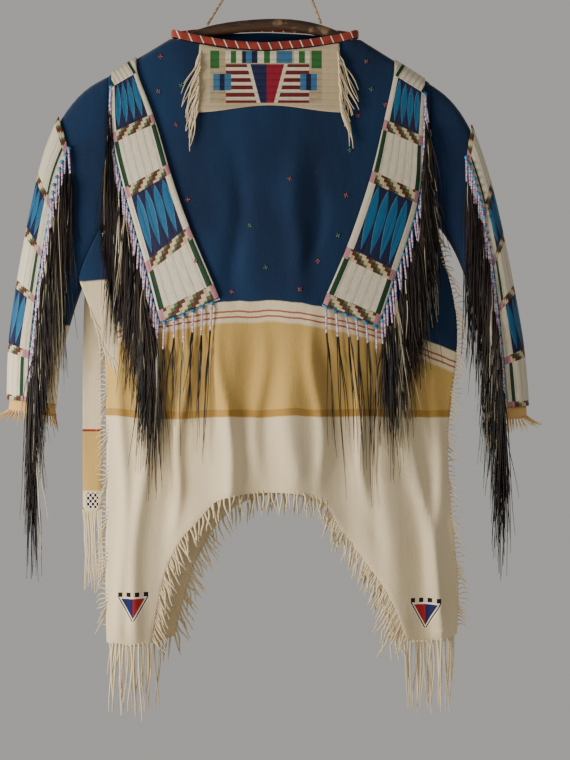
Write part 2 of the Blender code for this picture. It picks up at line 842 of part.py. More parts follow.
def sleeve(name, rows, mirrored):
    around = 2 * (ROUND_CELLS + FLAT_CELLS)

    def place(column, row):
        along = row / SLEEVE_RINGS
        distance = ring_distances(rows, along)[column % around]
        return sleeve_surface(rows, along, distance)

    return cloth(name, around, SLEEVE_RINGS, place, HIDE, -1, "painted_hide",
                 flip=not mirrored, joined=True)


def cuff(name, rows, mirrored):
    around = 2 * (ROUND_CELLS + FLAT_CELLS)

    def place(column, row):
        distance = ring_distances(rows, 1.0)[column % around]
        return sleeve_surface(rows, 1.0, distance, drop=SEAM + CUFF_LENGTH * row / 2)

    return cloth(name, around, 2, place, HIDE, -1, "tan_hide", flip=not mirrored, joined=True)


def cuff_fringe(name, rows, mirrored):
    girth = sleeve_girth(rows, 1.0)
    outer, inner, inward, radius, flat = sleeve_frame(rows, 1.0)
    centre = (outer + inner) / 2
    distances = [mark for mark in sorted(ring_distances(rows, 1.0)) if abs(mark) < girth / 2 - 0.004]
    points = [sleeve_surface(rows, 1.0, mark, drop=CUFF_LENGTH + 2 * SEAM) for mark in distances]
    down = (sleeve_surface(rows, 1.0, 0, drop=1.0) - sleeve_surface(rows, 1.0, 0)).normalized()
    normals = []
    for point in points:
        along_flat = max(min((point - centre).dot(inward), flat / 2), -flat / 2)
        heart = centre + inward * along_flat
        out = point - heart
        out -= down * out.dot(down)
        normals.append(-out.normalized())
    tops = []
    bottoms = []
    outs = []
    for i, point in enumerate(points):
        tops.append(point)
        bottoms.append(point + down * FRINGE_HEAD)
        outs.append(normals[i])

    def strand(cell, root, away):
        splay = -outs[cell] * 0.010
        end = root + away * 0.018 + splay
        return [(root + away * 0.008 + splay * 0.3, 0.0018, 0.0008), (end, 0.0010, 0.0006)]

    return comb(name, tops, bottoms, outs, strand, 0.0014, "tan_hide")


def sleeve_strip(name, rows, mirrored):
    columns = 8
    first = 2

    def place(column, row):
        along = (first + row) / SLEEVE_RINGS
        outer = look_up(SLEEVE_STRIP, "along", along, "outer", curved=False)
        inner = look_up(SLEEVE_STRIP, "along", along, "inner", curved=False)
        return on_sleeve(rows, along, outer + (inner - outer) * column / columns, SLEEVE_LIE)

    return cloth(name, columns, SLEEVE_RINGS - first, place, STRIP_THICK, 1, "beadwork",
                 flip=not mirrored)


def sleeve_locks(name, rows, mirrored):
    turn = 1 if mirrored else -1
    steps = SLEEVE_RINGS - 2
    points = []
    normals = []
    for step in range(steps + 1):
        along = (2 + step) / SLEEVE_RINGS
        around = look_up(SLEEVE_STRIP, "along", along, "inner", curved=False)
        point = on_sleeve(rows, along, around, SLEEVE_LIE + 0.0006)
        points.append(point)
        normals.append((on_sleeve(rows, along, around, SLEEVE_LIE + 0.002) - point).normalized())
    tops, bottoms, outs = strip_of_cells(points, normals, lambda point: 0.034, LOCK_HEAD, turn, gap=0.0006)

    return comb(name, tops, bottoms, outs, lock_strand(0.30, turn * 0.006), 0.0018, "hair")


def hanging_flap(name, top, bottom, columns, rows, finish):
    """A flat hide piece between its upper and its lower edge."""
    def place(column, row):
        share = column / columns
        return bottom(share).lerp(top(share), row / rows)

    return cloth(name, columns, rows, place, HIDE, 0, finish)


def sleeve_wing():
    def top(share):
        return on_sleeve(LEFT_SLEEVE, 0.42 - 0.30 * share, wing_start(0.42 - 0.30 * share), LIE + 0.0012)

    def bottom(share):
        drop = 0.085 * math.sin(math.pi * share * 0.62)
        return Vector((-0.307 + 0.050 * share, -0.0235, -0.733 - drop))

    return hanging_flap("sleeve_wing_left", top, bottom, 3, 6, "painted_hide")


def wing_start(along):
    """Distance round the sleeve to the lower front of its inner edge."""
    outer, inner, inward, radius, flat = sleeve_frame(LEFT_SLEEVE, along)
    return math.pi / 2 * radius + flat + radius * math.radians(20)


TAB_BOTTOM_Z = -1.070


def tab_edge(share, z):
    narrow = 0.030 if z > -0.9 else 0.034
    return Vector((-0.3235 + narrow * share, 0.004, z))


def sleeve_tab():
    def top(share):
        along = 0.447 - 0.302 * share
        x = look_up(LEFT_SLEEVE, "along", along, "inner_x")
        z = look_up(LEFT_SLEEVE, "along", along, "inner_z")
        return Vector((x, 0.004, z - 0.0011))

    def bottom(share):
        return tab_edge(share, TAB_BOTTOM_Z)

    return hanging_flap("sleeve_tab_left", top, bottom, 3, 8, "pale_hide")


def sleeve_tab_fringe():
    cells = 11
    normals = [Vector((0, -1, 0))] * (cells + 1)
    tops = [tab_edge(k / cells, TAB_BOTTOM_Z - SEAM) + Vector((0, 0.0008, 0)) for k in range(cells + 1)]
    bottoms = [top + Vector((0, 0, -FRINGE_HEAD)) for top in tops]

    def strand(cell, root, away):
        length = 0.125 + 0.012 * math.sin(cell * 1.9)
        sway = 0.003 * math.sin(cell * 0.3)
        return [(root + Vector((sway, 0, -length / 2)), 0.0013, 0.0008),
                (root + Vector((sway * 2, 0, -length)), 0.0008, 0.0006)]

    return comb("sleeve_tab_fringe_left", tops, bottoms, normals, strand, 0.0016, "pale_hide")


# Hanger

def tube(name, points, radius, finish, resolution):
    curve = bpy.data.curves.new(name, "CURVE")
    curve.dimensions = "3D"
    curve.bevel_depth = radius
    curve.bevel_resolution = resolution
    curve.use_fill_caps = True
    spline = curve.splines.new("POLY")
    spline.points.add(len(points) - 1)
    for spot, point in zip(spline.points, points):
        spot.co = (*point, 1)
    curve.materials.append(finish_of(finish))
    obj = bpy.data.objects.new(name, curve)
    SHIRT.objects.link(obj)
    return obj


def branch_z(x):
    return look_up(BRANCH, "x", x, "z")


def thong_route():
    """From the left tie on the branch, over the peg, down to the right tie."""
    ends = []
    for x in (THONG_LEFT_X, THONG_RIGHT_X):
        ends.append(Vector((x, 0, branch_z(x) + BRANCH_RADIUS + THONG_DIAMETER * 0.30)))
    bend = Vector((0, 0, LOOP_TOP - THONG_BEND))
    route = []
    touch = []
    for end, side in zip(ends, (-1, 1)):
        way = end - bend
        reach = math.acos(THONG_BEND / way.length)
        base = math.atan2(way.z, way.x)
        angle = base - side * -reach if side > 0 else base - reach
        touch.append(angle)
    left_angle, right_angle = touch[0] % (2 * math.pi), touch[1]
    left_touch = bend + Vector((math.cos(left_angle), 0, math.sin(left_angle))) * THONG_BEND
    right_touch = bend + Vector((math.cos(right_angle), 0, math.sin(right_angle))) * THONG_BEND
    straight = 9
    for k in range(straight):
        route.append(ends[0].lerp(left_touch, k / straight))
    turns = 8
    for k in range(turns + 1):
        angle = left_angle + (right_angle - left_angle) * k / turns
        route.append(bend + Vector((math.cos(angle), 0, math.sin(angle))) * THONG_BEND)
    for k in range(1, straight + 1):
        route.append(right_touch.lerp(ends[1], k / straight))
    return route


def hanger():
    tube("hanger_branch", [(row.x, 0, branch_z(row.x)) for row in BRANCH], BRANCH_RADIUS, "wood", 3)
    tube("hanger_thong", thong_route(), THONG_DIAMETER / 2, "thong", 2)


SHIRT = start()


def build():
    body_panel("front_panel", -1, FRONT_HEM)
    body_panel("back_panel", 1, BACK_HEM)
    hem_fringe("front_hem_fringe", -1, FRONT_HEM)
    hem_fringe("back_hem_fringe", 1, BACK_HEM)
    neck_binding()
    bib()
    bib_fringe("bib_fringe_left", -1)
    bib_fringe("bib_fringe_right", 1)
    sides = (("left", LEFT_SLEEVE, LEFT_STRIP, False), ("right", RIGHT_SLEEVE, RIGHT_STRIP, True))
    for side, arm, strip, mirrored in sides:
        side_fringe("side_fringe_" + side, 1 if mirrored else -1)
        shoulder_strip("shoulder_strip_" + side, strip, mirrored)
        shoulder_locks("shoulder_locks_" + side, strip, mirrored)
        sleeve("sleeve_" + side, arm, mirrored)
        sleeve_strip("sleeve_strip_" + side, arm, mirrored)
        sleeve_locks("sleeve_locks_" + side, arm, mirrored)
        cuff("cuff_" + side, arm, mirrored)
        cuff_fringe("cuff_fringe_" + side, arm, mirrored)
    sleeve_wing()
    sleeve_tab()
    sleeve_tab_fringe()
    hanger()
    for obj in SHIRT.objects:
        obj.data.transform(Matrix.Translation((0, 0, -LOOP_TOP)))


build()
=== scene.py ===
# %% [markdown]
# A painted hide shirt with cut fringe hangs on a bent branch from a thong loop.
# The packed CAD model is the frame: it gives the place and the size of every piece.
# This script dresses it with smoother hide, beadwork, hair and fringe, and sets up a camera and lights for
# it.

# %% Load the frame
import json
import math
import random
import bmesh
import bpy
from mathutils import Matrix, Vector
from mathutils.bvhtree import BVHTree

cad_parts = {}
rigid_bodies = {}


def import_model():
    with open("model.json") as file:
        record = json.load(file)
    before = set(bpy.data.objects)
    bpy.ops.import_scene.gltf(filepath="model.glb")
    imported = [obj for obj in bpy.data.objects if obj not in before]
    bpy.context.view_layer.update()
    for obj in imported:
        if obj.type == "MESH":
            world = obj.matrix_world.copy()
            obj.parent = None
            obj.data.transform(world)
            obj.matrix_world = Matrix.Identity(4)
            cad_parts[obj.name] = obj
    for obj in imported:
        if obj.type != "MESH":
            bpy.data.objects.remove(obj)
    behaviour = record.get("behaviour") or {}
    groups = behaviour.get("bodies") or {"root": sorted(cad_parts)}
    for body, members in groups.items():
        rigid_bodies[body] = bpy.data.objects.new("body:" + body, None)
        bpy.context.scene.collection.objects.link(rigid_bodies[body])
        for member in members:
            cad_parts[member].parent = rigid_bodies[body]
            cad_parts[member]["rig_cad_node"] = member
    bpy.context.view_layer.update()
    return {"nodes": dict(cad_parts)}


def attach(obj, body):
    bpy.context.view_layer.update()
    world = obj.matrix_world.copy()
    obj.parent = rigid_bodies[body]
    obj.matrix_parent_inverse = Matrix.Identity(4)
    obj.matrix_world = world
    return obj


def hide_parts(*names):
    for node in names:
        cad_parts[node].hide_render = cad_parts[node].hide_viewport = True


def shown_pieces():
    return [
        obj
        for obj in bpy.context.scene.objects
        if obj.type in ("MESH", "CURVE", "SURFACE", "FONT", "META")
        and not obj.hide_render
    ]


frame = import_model()
nodes = frame["nodes"]
random.seed(11)
print("nodes", len(nodes))

# %% [markdown]
# The camera stands straight in front, at the height of the chest, as in the photograph.
# The lens is chosen so that the frame is 1.254 metres high at the plane of the shirt.
# Heights in this script count from a point RISE above the origin. Every piece is made
# at those heights, and one of the last cells moves all of them up by RISE.

# %% Camera
RISE = 0.080
DISTANCE = 2.6
CHEST_Y = -0.03
VIEW_CENTRE_X = 0.0149
VIEW_CENTRE_Z = -0.85
FRAME_HEIGHT = 1.254
SENSOR = 36.0


def placed(name, data):
    """A new object with this data, linked to the scene."""
    obj = bpy.data.objects.new(name, data)
    bpy.context.scene.collection.objects.link(obj)
    return obj


camera_data = bpy.data.cameras.new("camera")
camera_data.sensor_width = SENSOR
camera_data.lens = SENSOR * DISTANCE / FRAME_HEIGHT
camera = placed("camera", camera_data)
camera.location = (VIEW_CENTRE_X, CHEST_Y - DISTANCE, VIEW_CENTRE_Z + RISE)
camera.rotation_euler = (math.radians(90), 0, 0)
bpy.context.scene.camera = camera
print("lens", round(camera_data.lens, 1))

# %% [markdown]
# The loop is one hide thong: up from the branch, over its peg, and down again.
# A pair of straight lines and an arc give its centre line. The lines touch the arc, so
# the thong has no kink there, and the sum of its short steps is the length to cut.

# %% Thong loop
THONG_DIAMETER = 0.004
THONG_BEND = 0.012


def thong_route():
    """Points of the loop's centre line, from the left end over the peg to the right one."""
    left = Vector((-0.115, 0, -0.2578))
    right = Vector((0.075, 0, -0.2548))
    centre = Vector((0, 0, -RISE - THONG_BEND))

    def tangent(end, side):
        way = end - centre
        turn = math.atan2(way.z, way.x) - side * math.acos(THONG_BEND / way.length)
        return centre + Vector((math.cos(turn), 0, math.sin(turn))) * THONG_BEND, turn

    start, first = tangent(left, 1)
    stop, last = tangent(right, -1)
    first %= 2 * math.pi
    last %= 2 * math.pi
    if last > first:
        last -= 2 * math.pi
    points = [left.lerp(start, k / 9) for k in range(10)]
    for k in range(1, 8):
        angle = first + (last - first) * k / 8
        points.append(centre + Vector((math.cos(angle), 0, math.sin(angle))) * THONG_BEND)
    points += [stop.lerp(right, k / 9) for k in range(10)]
    return points


route = thong_route()
length = sum((b - a).length for a, b in zip(route, route[1:]))
print("thong length", round(length, 3))

# %% [markdown]
# Every finish is built from nodes. A few short helpers keep those lines readable:
# each adds one node and returns its output, so that they can be put inside each other.

# %% Node helpers


class Wires:
    """Adds nodes to one tree and joins them."""

    def __init__(self, tree):
        self.tree = tree

    def add(self, kind, **settings):
        node = self.tree.nodes.new(kind)
        for name, value in settings.items():
            setattr(node, name, value)
        return node

    def plug(self, socket, value):
        if isinstance(value, bpy.types.NodeSocket):
            self.tree.links.new(value, socket)
        elif isinstance(value, tuple) and len(value) == 3 and socket.type == "RGBA":
            socket.default_value = (*value, 1)
        else:
            socket.default_value = value

    def math(self, what, a, b=0.0, clamp=False):
        node = self.add("ShaderNodeMath", operation=what, use_clamp=clamp)
        self.plug(node.inputs[0], a)
        self.plug(node.inputs[1], b)
        return node.outputs[0]

    def times(self, a, b):
        return self.math("MULTIPLY", a, b)

    def plus(self, a, b):
        return self.math("ADD", a, b)

    def minus(self, a, b):
        return self.math("SUBTRACT", a, b)

    def above(self, a, b):
        return self.math("GREATER_THAN", a, b)

    def below(self, a, b):
        return self.math("LESS_THAN", a, b)

    def mix(self, share, a, b, blend="MIX"):
        node = self.add("ShaderNodeMix", data_type="RGBA", blend_type=blend)
        self.plug(node.inputs["Factor"], share)
        self.plug(node.inputs[6], a)
        self.plug(node.inputs[7], b)
        return node.outputs[2]

    def object_place(self):
        """The place on the object, at the heights that this script counts in."""
        node = self.add("ShaderNodeVectorMath", operation="SUBTRACT")
        self.plug(node.inputs[0], self.add("ShaderNodeTexCoord").outputs["Object"])
        node.inputs[1].default_value = (0.0, 0.0, RISE)
        return node.outputs[0]

    def split(self, vector):
        node = self.add("ShaderNodeSeparateXYZ")
        self.plug(node.inputs[0], vector)
        return node.outputs

    def joined(self, x, y, z=0.0):
        node = self.add("ShaderNodeCombineXYZ")
        for socket, value in zip(node.inputs, (x, y, z)):
            self.plug(socket, value)
        return node.outputs[0]

    def stretched(self, vector, scale):
        node = self.add("ShaderNodeVectorMath", operation="MULTIPLY")
        self.plug(node.inputs[0], vector)
        node.inputs[1].default_value = scale
        return node.outputs[0]

    def noise(self, vector, scale, detail=3.0, roughness=0.55):
        node = self.add("ShaderNodeTexNoise")
        self.plug(node.inputs["Vector"], vector)
        node.inputs["Scale"].default_value = scale
        node.inputs["Detail"].default_value = detail
        node.inputs["Roughness"].default_value = roughness
        return node.outputs["Fac"]

    def soft(self, value, low, high):
        """0 at low, 1 at high, smooth between; low may be the larger."""
        node = self.add("ShaderNodeMapRange", interpolation_type="SMOOTHSTEP")
        self.plug(node.inputs["Value"], value)
        flip = low > high
        node.inputs["From Min"].default_value = min(low, high)
        node.inputs["From Max"].default_value = max(low, high)
        node.inputs["To Min"].default_value = 1.0 if flip else 0.0
        node.inputs["To Max"].default_value = 0.0 if flip else 1.0
        return node.outputs["Result"]

    def between(self, value, low, high):
        return self.times(self.above(value, low), self.below(value, high))

    def box(self, x, y, left, right, low, high):
        """1 inside a rectangle of two values."""
        return self.times(self.between(x, left, right), self.between(y, low, high))

    def bump(self, height, strength, distance):
        """The normal of a surface that a height stands out of."""
        node = self.add("ShaderNodeBump")
        node.inputs["Strength"].default_value = strength
        node.inputs["Distance"].default_value = distance
        self.plug(node.inputs["Height"], height)
        return node.outputs[0]


print("node helpers", len([name for name in vars(Wires) if not name.startswith("_")]))

# %% [markdown]
# Colours were read as they look on a screen, from 0 to 255. A shader reckons in
# linear light, so each is raised to the power that a screen works with.

# %% Colours


def srgb(red, green, blue):
    """A colour given in 0 to 255 as the linear values that the shader takes."""
    return tuple((value / 255) ** 2.2 for value in (red, green, blue))


print("middle grey", round(srgb(128, 128, 128)[0], 3))

# %% [markdown]
# Hide has a soft nap and a loose grain. Both are needed by all hide finishes,
# so they are one node group with a value for patches and a normal for the surface.

# %% Hide grain group
hide_group = bpy.data.node_groups.new("hide_grain", "ShaderNodeTree")
hide_group.interface.new_socket("Patches", in_out="OUTPUT", socket_type="NodeSocketFloat")
hide_group.interface.new_socket("Speckle", in_out="OUTPUT", socket_type="NodeSocketFloat")
hide_group.interface.new_socket("Normal", in_out="OUTPUT", socket_type="NodeSocketVector")
wires = Wires(hide_group)
place = wires.object_place()
patches = wires.noise(wires.stretched(place, (1.0, 1.0, 0.45)), 9.0, 4.0, 0.5)
speckle = wires.noise(place, 260.0, 3.0, 0.7)
creases = wires.noise(wires.stretched(place, (1.0, 1.0, 0.28)), 26.0, 4.0, 0.5)
height = wires.plus(wires.times(speckle, 0.22), creases)
out = wires.add("NodeGroupOutput")
wires.plug(out.inputs["Patches"], patches)
wires.plug(out.inputs["Speckle"], speckle)
wires.plug(out.inputs["Normal"], wires.bump(height, 0.55, 0.004))


def new_finish(name, roughness=0.85, sheen=0.0):
    """A material with its principled shader and the wires of its tree."""
    material = bpy.data.materials.new(name)
    material.use_nodes = True
    shader = material.node_tree.nodes["Principled BSDF"]
    shader.inputs["Roughness"].default_value = roughness
    shader.inputs["Sheen Weight"].default_value = sheen
    shader.inputs["Specular IOR Level"].default_value = 0.25
    return material, shader, Wires(material.node_tree)


def hide_grain(wires):
    """Patches, Speckle and Normal of the hide, from the group."""
    node = wires.add("ShaderNodeGroup")
    node.node_tree = hide_group
    return node.outputs


print("hide grain has", len(hide_group.nodes), "nodes")

# %% [markdown]
# Earth paint is rubbed into hide by hand, so it is thin and worn in places. It could be
# one colour with a noise over it. Here the hide's own patches and speckle choose between
# a light and a dark mix, so that the paint wears where the hide is rough.

# %% Paint and bare hide
BLUE = srgb(18, 47, 78)
BLUE_DARK = srgb(10, 32, 58)
CREAM = srgb(216, 198, 162)
CREAM_DARK = srgb(190, 170, 132)
OCHRE = srgb(190, 155, 88)
OCHRE_DARK = srgb(156, 116, 54)
RED = srgb(140, 48, 38)


def blue_paint(wires, grain):
    """Dark in the hollows, light on the rubbed grain."""
    worn = wires.soft(grain["Patches"], 0.25, 0.75)
    blue = wires.mix(worn, BLUE_DARK, BLUE)
    rubbed = wires.times(wires.soft(grain["Speckle"], 0.62, 0.74), 0.18)
    return wires.mix(rubbed, blue, srgb(66, 92, 122))


def bare_hide(wires, grain, light=CREAM, dark=CREAM_DARK):
    """Unpainted hide with soft darker stains."""
    stain = wires.soft(grain["Patches"], 0.40, 0.72)
    return wires.mix(wires.times(stain, 0.7), light, dark)


print("blue paint", [round(value, 3) for value in BLUE])

# %% [markdown]
# Each long leg tab of the front carries a small beaded triangle that points down, with
# four squares above it. It could be modelled in beads. It is a few pixels high, so it is
# drawn by the shader, as borders of a height above the point and a distance off its middle.

# %% Tab motif
# each: middle x, width, low z, high z, colour right of the middle, colour left of it
TAB_MOTIFS = [
    (-0.2360, 0.046, -1.238, -1.208, srgb(150, 30, 35), srgb(28, 30, 78)),
    (0.2475, 0.046, -1.250, -1.218, srgb(28, 30, 78), srgb(150, 30, 35)),
]
BEAD_WHITE = srgb(228, 216, 190)
BLACK = srgb(18, 16, 18)
POINT = 0.010
SQUARE_HALF = 0.0036
SQUARE_HEIGHT = 0.0075


def tab_motif(wires, x, z, paint, motif):
    """A point-down triangle in two colours with stepped black squares above it."""
    middle, width, low, high, right_colour, left_colour = motif
    off = wires.math("ABSOLUTE", wires.minus(x, middle))
    rise = wires.minus(z, low - POINT)
    half = wires.times(rise, width / 2 / (high - low + POINT))
    room = wires.minus(half, off)
    inside = wires.between(z, low - POINT, high)
    for margin, colour in ((-0.0045, BEAD_WHITE), (-0.0022, BLACK), (0.0, BEAD_WHITE)):
        paint = wires.mix(wires.times(wires.above(room, margin), inside), paint, colour)
    core = wires.times(wires.above(room, 0.002), wires.below(z, high - 0.003))
    side = wires.above(x, middle)
    paint = wires.mix(core, paint, wires.mix(side, left_colour, right_colour))
    for step in (-0.021, -0.007, 0.007, 0.021):
        left = middle + step - SQUARE_HALF
        right = middle + step + SQUARE_HALF
        paint = wires.mix(wires.box(x, z, left, right, high, high + SQUARE_HEIGHT), paint, BLACK)
    return paint


print(len(TAB_MOTIFS), "tab motifs charted")

# %% [markdown]
# The body is painted: earth blue above, a cream band with two thin red lines,
# ochre with a darker lower line, and bare hide on the legs. It could be an image on a
# map. Bands of height need none: the borders droop towards the sides, so they follow
# a height that depends on x, and they waver a little with the hide's patches.

# %% Body paint
BLUE_EDGE = (-0.722, -0.7195)
RED_LINES = (-0.7385, -0.7475)
RED_LINE_HEIGHT = 0.0030
OCHRE_TOP = (-0.752, -0.758)
OCHRE_FOOT = (-0.914, -0.909)
OCHRE_LINE = (-0.911, -0.899)


def painted_body():
    """Blue, cream with red lines, ochre and bare hide, from the top down."""
    material, shader, wires = new_finish("painted_hide", 0.88, 0.12)
    grain = hide_grain(wires)
    x, y, z = wires.split(wires.object_place())
    wobble = wires.times(wires.minus(grain["Patches"], 0.5), 0.022)
    droop = wires.plus(wires.times(wires.times(x, x), 0.75), wires.times(x, 0.06))
    level = wires.plus(wires.plus(z, droop), wobble)
    paint = bare_hide(wires, grain)
    ochre = wires.mix(wires.soft(grain["Patches"], 0.35, 0.7), OCHRE, srgb(176, 142, 80))
    lower = wires.plus(z, wires.times(wobble, 0.7))
    ochre_share = wires.times(wires.soft(level, *OCHRE_TOP), wires.soft(lower, *OCHRE_FOOT))
    paint = wires.mix(ochre_share, paint, ochre)
    dark_line = wires.times(wires.between(lower, *OCHRE_LINE), 0.8)
    paint = wires.mix(dark_line, paint, OCHRE_DARK)
    for low in RED_LINES:
        line = wires.times(wires.between(level, low, low + RED_LINE_HEIGHT), 0.85)
        paint = wires.mix(line, paint, RED)
    paint = wires.mix(wires.soft(level, *BLUE_EDGE), paint, blue_paint(wires, grain))
    for motif in TAB_MOTIFS:
        paint = tab_motif(wires, x, z, paint, motif)
    wires.plug(shader.inputs["Base Color"], paint)
    wires.plug(shader.inputs["Normal"], grain["Normal"])
    return material


body_finish = painted_body()
print("body paint ready")

# %% [markdown]
# The sleeves are blue to below the elbow and bare from there. The foreleg tab has a red
# line, ochre, and a patch of small checks. All of them reuse the paints and the grain,
# so that they wear like the body.

# %% Sleeve, tab and plain hide
TAB_OCHRE = (-1.035, -0.936)
TAB_RED = (-0.936, -0.932)
TAB_CHECKS = (-0.317, -0.297, -1.064, -1.038)
TAB_CHECK_WIDTH = 0.004
TAB_CHECK_HEIGHT = 0.005


def painted_sleeve(name, blue_to):
    """Blue hide above a height, bare below it."""
    material, shader, wires = new_finish(name, 0.88, 0.12)
    grain = hide_grain(wires)
    x, y, z = wires.split(wires.object_place())
    wobble = wires.times(wires.minus(grain["Patches"], 0.5), 0.02)
    level = wires.plus(z, wobble)
    share = wires.soft(level, blue_to - 0.002, blue_to + 0.002)
    paint = wires.mix(share, bare_hide(wires, grain), blue_paint(wires, grain))
    wires.plug(shader.inputs["Base Color"], paint)
    wires.plug(shader.inputs["Normal"], grain["Normal"])
    return material


def tab_finish():
    """The foreleg tab: red line, ochre, then bare hide with small black and white checks."""
    material, shader, wires = new_finish("painted_tab", 0.85, 0.15)
    grain = hide_grain(wires)
    x, y, z = wires.split(wires.object_place())
    paint = bare_hide(wires, grain)
    paint = wires.mix(wires.between(z, *TAB_OCHRE), paint, OCHRE)
    paint = wires.mix(wires.between(z, *TAB_RED), paint, RED)
    column = wires.math("FLOOR", wires.times(x, 1 / TAB_CHECK_WIDTH))
    row = wires.math("FLOOR", wires.times(z, 1 / TAB_CHECK_HEIGHT))
    odd = wires.math("MODULO", wires.plus(wires.plus(column, row), 1000.0), 2.0)
    check = wires.mix(wires.above(odd, 0.5), BEAD_WHITE, BLACK)
    paint = wires.mix(wires.box(x, z, *TAB_CHECKS), paint, check)
    wires.plug(shader.inputs["Base Color"], paint)
    wires.plug(shader.inputs["Normal"], grain["Normal"])
    return material


def plain_hide(name, light, dark):
    """Unpainted hide in two near colours."""
    material, shader, wires = new_finish(name, 0.85, 0.15)
    grain = hide_grain(wires)
    wires.plug(shader.inputs["Base Color"], bare_hide(wires, grain, light, dark))
    wires.plug(shader.inputs["Normal"], grain["Normal"])
    return material


sleeve_finish = painted_sleeve("painted_sleeve", -0.76)
wing_finish = painted_sleeve("painted_wing", -0.685)
tab_paint = tab_finish()
pale_finish = plain_hide("pale_hide", CREAM, CREAM_DARK)
tan_finish = plain_hide("tan_hide", srgb(205, 166, 104), srgb(170, 126, 70))
print("hide finishes ready")

# %% [markdown]
# Beadwork is seed beads sewn in rows. Tens of thousands of modelled beads would be too
# heavy, and at this distance they show only as a fine grid of round bumps. One group
# makes that bump from a place given in millimetres, and every beaded finish uses it.
# The group also gives a painted shade, light on the bead tops and dark in the gaps
# between beads and between lanes, with an uneven tone of the beads over it.

# %% Bead group
ROW_MM = 1.7
BEAD_MM = 1.9
LANE_MM = 11.0
bead_group = bpy.data.node_groups.new("seed_beads", "ShaderNodeTree")
bead_group.interface.new_socket("Place", in_out="INPUT", socket_type="NodeSocketVector")
bead_group.interface.new_socket("Normal", in_out="OUTPUT", socket_type="NodeSocketVector")
bead_group.interface.new_socket("Shade", in_out="OUTPUT", socket_type="NodeSocketFloat")
wires = Wires(bead_group)
source = wires.add("NodeGroupInput").outputs["Place"]
u, v, w = wires.split(source)


def humps(wires, value, pitch):
    """A row of round humps, one every pitch."""
    return wires.math("ABSOLUTE", wires.math("SINE", wires.times(value, math.pi / pitch)))


bead_hump = wires.times(humps(wires, u, ROW_MM), humps(wires, v, BEAD_MM))
hump = wires.math("POWER", bead_hump, 0.5)
lane_hump = wires.math("POWER", humps(wires, u, LANE_MM), 0.35)
height = wires.plus(hump, wires.times(lane_hump, 1.6))
uneven = wires.noise(wires.stretched(source, (0.55, 0.06, 1.0)), 1.0, 2.0)
# Painted shade: bead tops and lane ridges lighter, gaps between beads and lanes darker; the uneven noise
# is the beads' own tone.
bead_shade_and_tone = wires.plus(wires.times(hump, 0.22), wires.times(uneven, 0.5))
bead_shade_and_tone = wires.plus(bead_shade_and_tone, wires.times(lane_hump, 0.28))
out = wires.add("NodeGroupOutput")
wires.plug(out.inputs["Normal"], wires.bump(height, 0.6, 0.0009))
wires.plug(out.inputs["Shade"], wires.math("ADD", bead_shade_and_tone, 0.18, clamp=True))


def beaded(wires, place, chart):
    """The chart's colour with the painted bead shade and the beads' uneven tone multiplied in, and the
    normal of the beads.
    """
    beads = wires.add("ShaderNodeGroup")
    beads.node_tree = bead_group
    wires.plug(beads.inputs["Place"], place)
    bead_shade_and_tone = wires.joined(*[beads.outputs["Shade"]] * 3)
    return wires.mix(1.0, chart, bead_shade_and_tone, "MULTIPLY"), beads.outputs["Normal"]


print("bead group has", len(bead_group.nodes), "nodes")

# %% [markdown]
# The strips repeat four blocks down their length: a feather block in dark blue with teal
# tongues, a checked row with pink ends, a white block with green bars, and another check.
# Each kind of block is a short function of a map. The map's u runs across the strip
# from its inner to its outer edge, and v down it, both from 0 to 1.

# %% Strip blocks
TEAL = srgb(30, 100, 142)
TONGUE_EDGE = srgb(120, 165, 165)
NAVY = srgb(20, 26, 66)
GREEN = srgb(22, 62, 38)
PINK = srgb(190, 132, 138)
CHECK_LIGHT = srgb(215, 190, 150)
CHECK_DARK = srgb(88, 52, 28)
CHECK_GREEN = srgb(82, 110, 78)


def feather(wires, u, v, low, high, tongues, lanes):
    """Teal spindles on navy, pointed at both ends, with white lanes at the sides."""
    inner, outer = lanes
    t = wires.math("DIVIDE", wires.minus(v, low), high - low)
    across = wires.times(wires.minus(u, inner), tongues / (1 - inner - outer))
    leaning = wires.minus(across, wires.times(wires.minus(t, 0.5), 0.30))
    cell = wires.minus(wires.math("FRACT", leaning), 0.5)
    off = wires.math("ABSOLUTE", cell)
    early = wires.math("POWER", wires.math("MAXIMUM", t, 0.0), 0.8)
    arch = wires.math("SINE", wires.times(early, math.pi))
    reach = wires.minus(wires.times(arch, 0.50), 0.06)
    colour = wires.mix(wires.below(off, reach), NAVY, TEAL)
    edge = wires.times(wires.between(wires.minus(reach, off), 0.0, 0.05), wires.below(cell, 0.0))
    colour = wires.mix(wires.times(edge, 0.45), colour, TONGUE_EDGE)
    lane = wires.math("MAXIMUM", wires.below(u, inner), wires.above(u, 1 - outer))
    return wires.mix(lane, colour, BEAD_WHITE)


def checks(wires, u, v, across, down):
    """Small checks in three colours with a pink square at each end."""
    a = wires.math("FLOOR", wires.times(u, across))
    b = wires.math("FLOOR", wires.times(v, down))
    total = wires.plus(a, wires.times(b, 4.0))
    kind = wires.math("MODULO", wires.plus(total, 30.0), 5.0)
    colour = wires.mix(wires.above(kind, 1.5), CHECK_LIGHT, CHECK_DARK)
    colour = wires.mix(wires.above(kind, 3.5), colour, CHECK_GREEN)
    ends = wires.math("MAXIMUM", wires.below(u, 0.09), wires.above(u, 0.91))
    return wires.mix(ends, colour, PINK)


def white_block(wires, u, bars):
    """White beads with green bars down the sides."""
    colour = BEAD_WHITE
    for low, high in bars:
        colour = wires.mix(wires.between(u, low, high), colour, GREEN)
    return colour


print("strip blocks: feather, check, white")

# %% [markdown]
# A strip's finish stacks its blocks by their share of the length, as a beader counts
# them, and then lays the seed beads over the chart. The charts are listed below.

# %% Strip finish
TONGUES = 4
CHECK_WIDE_MM = 4.6
CHECK_HIGH_MM = 5.4


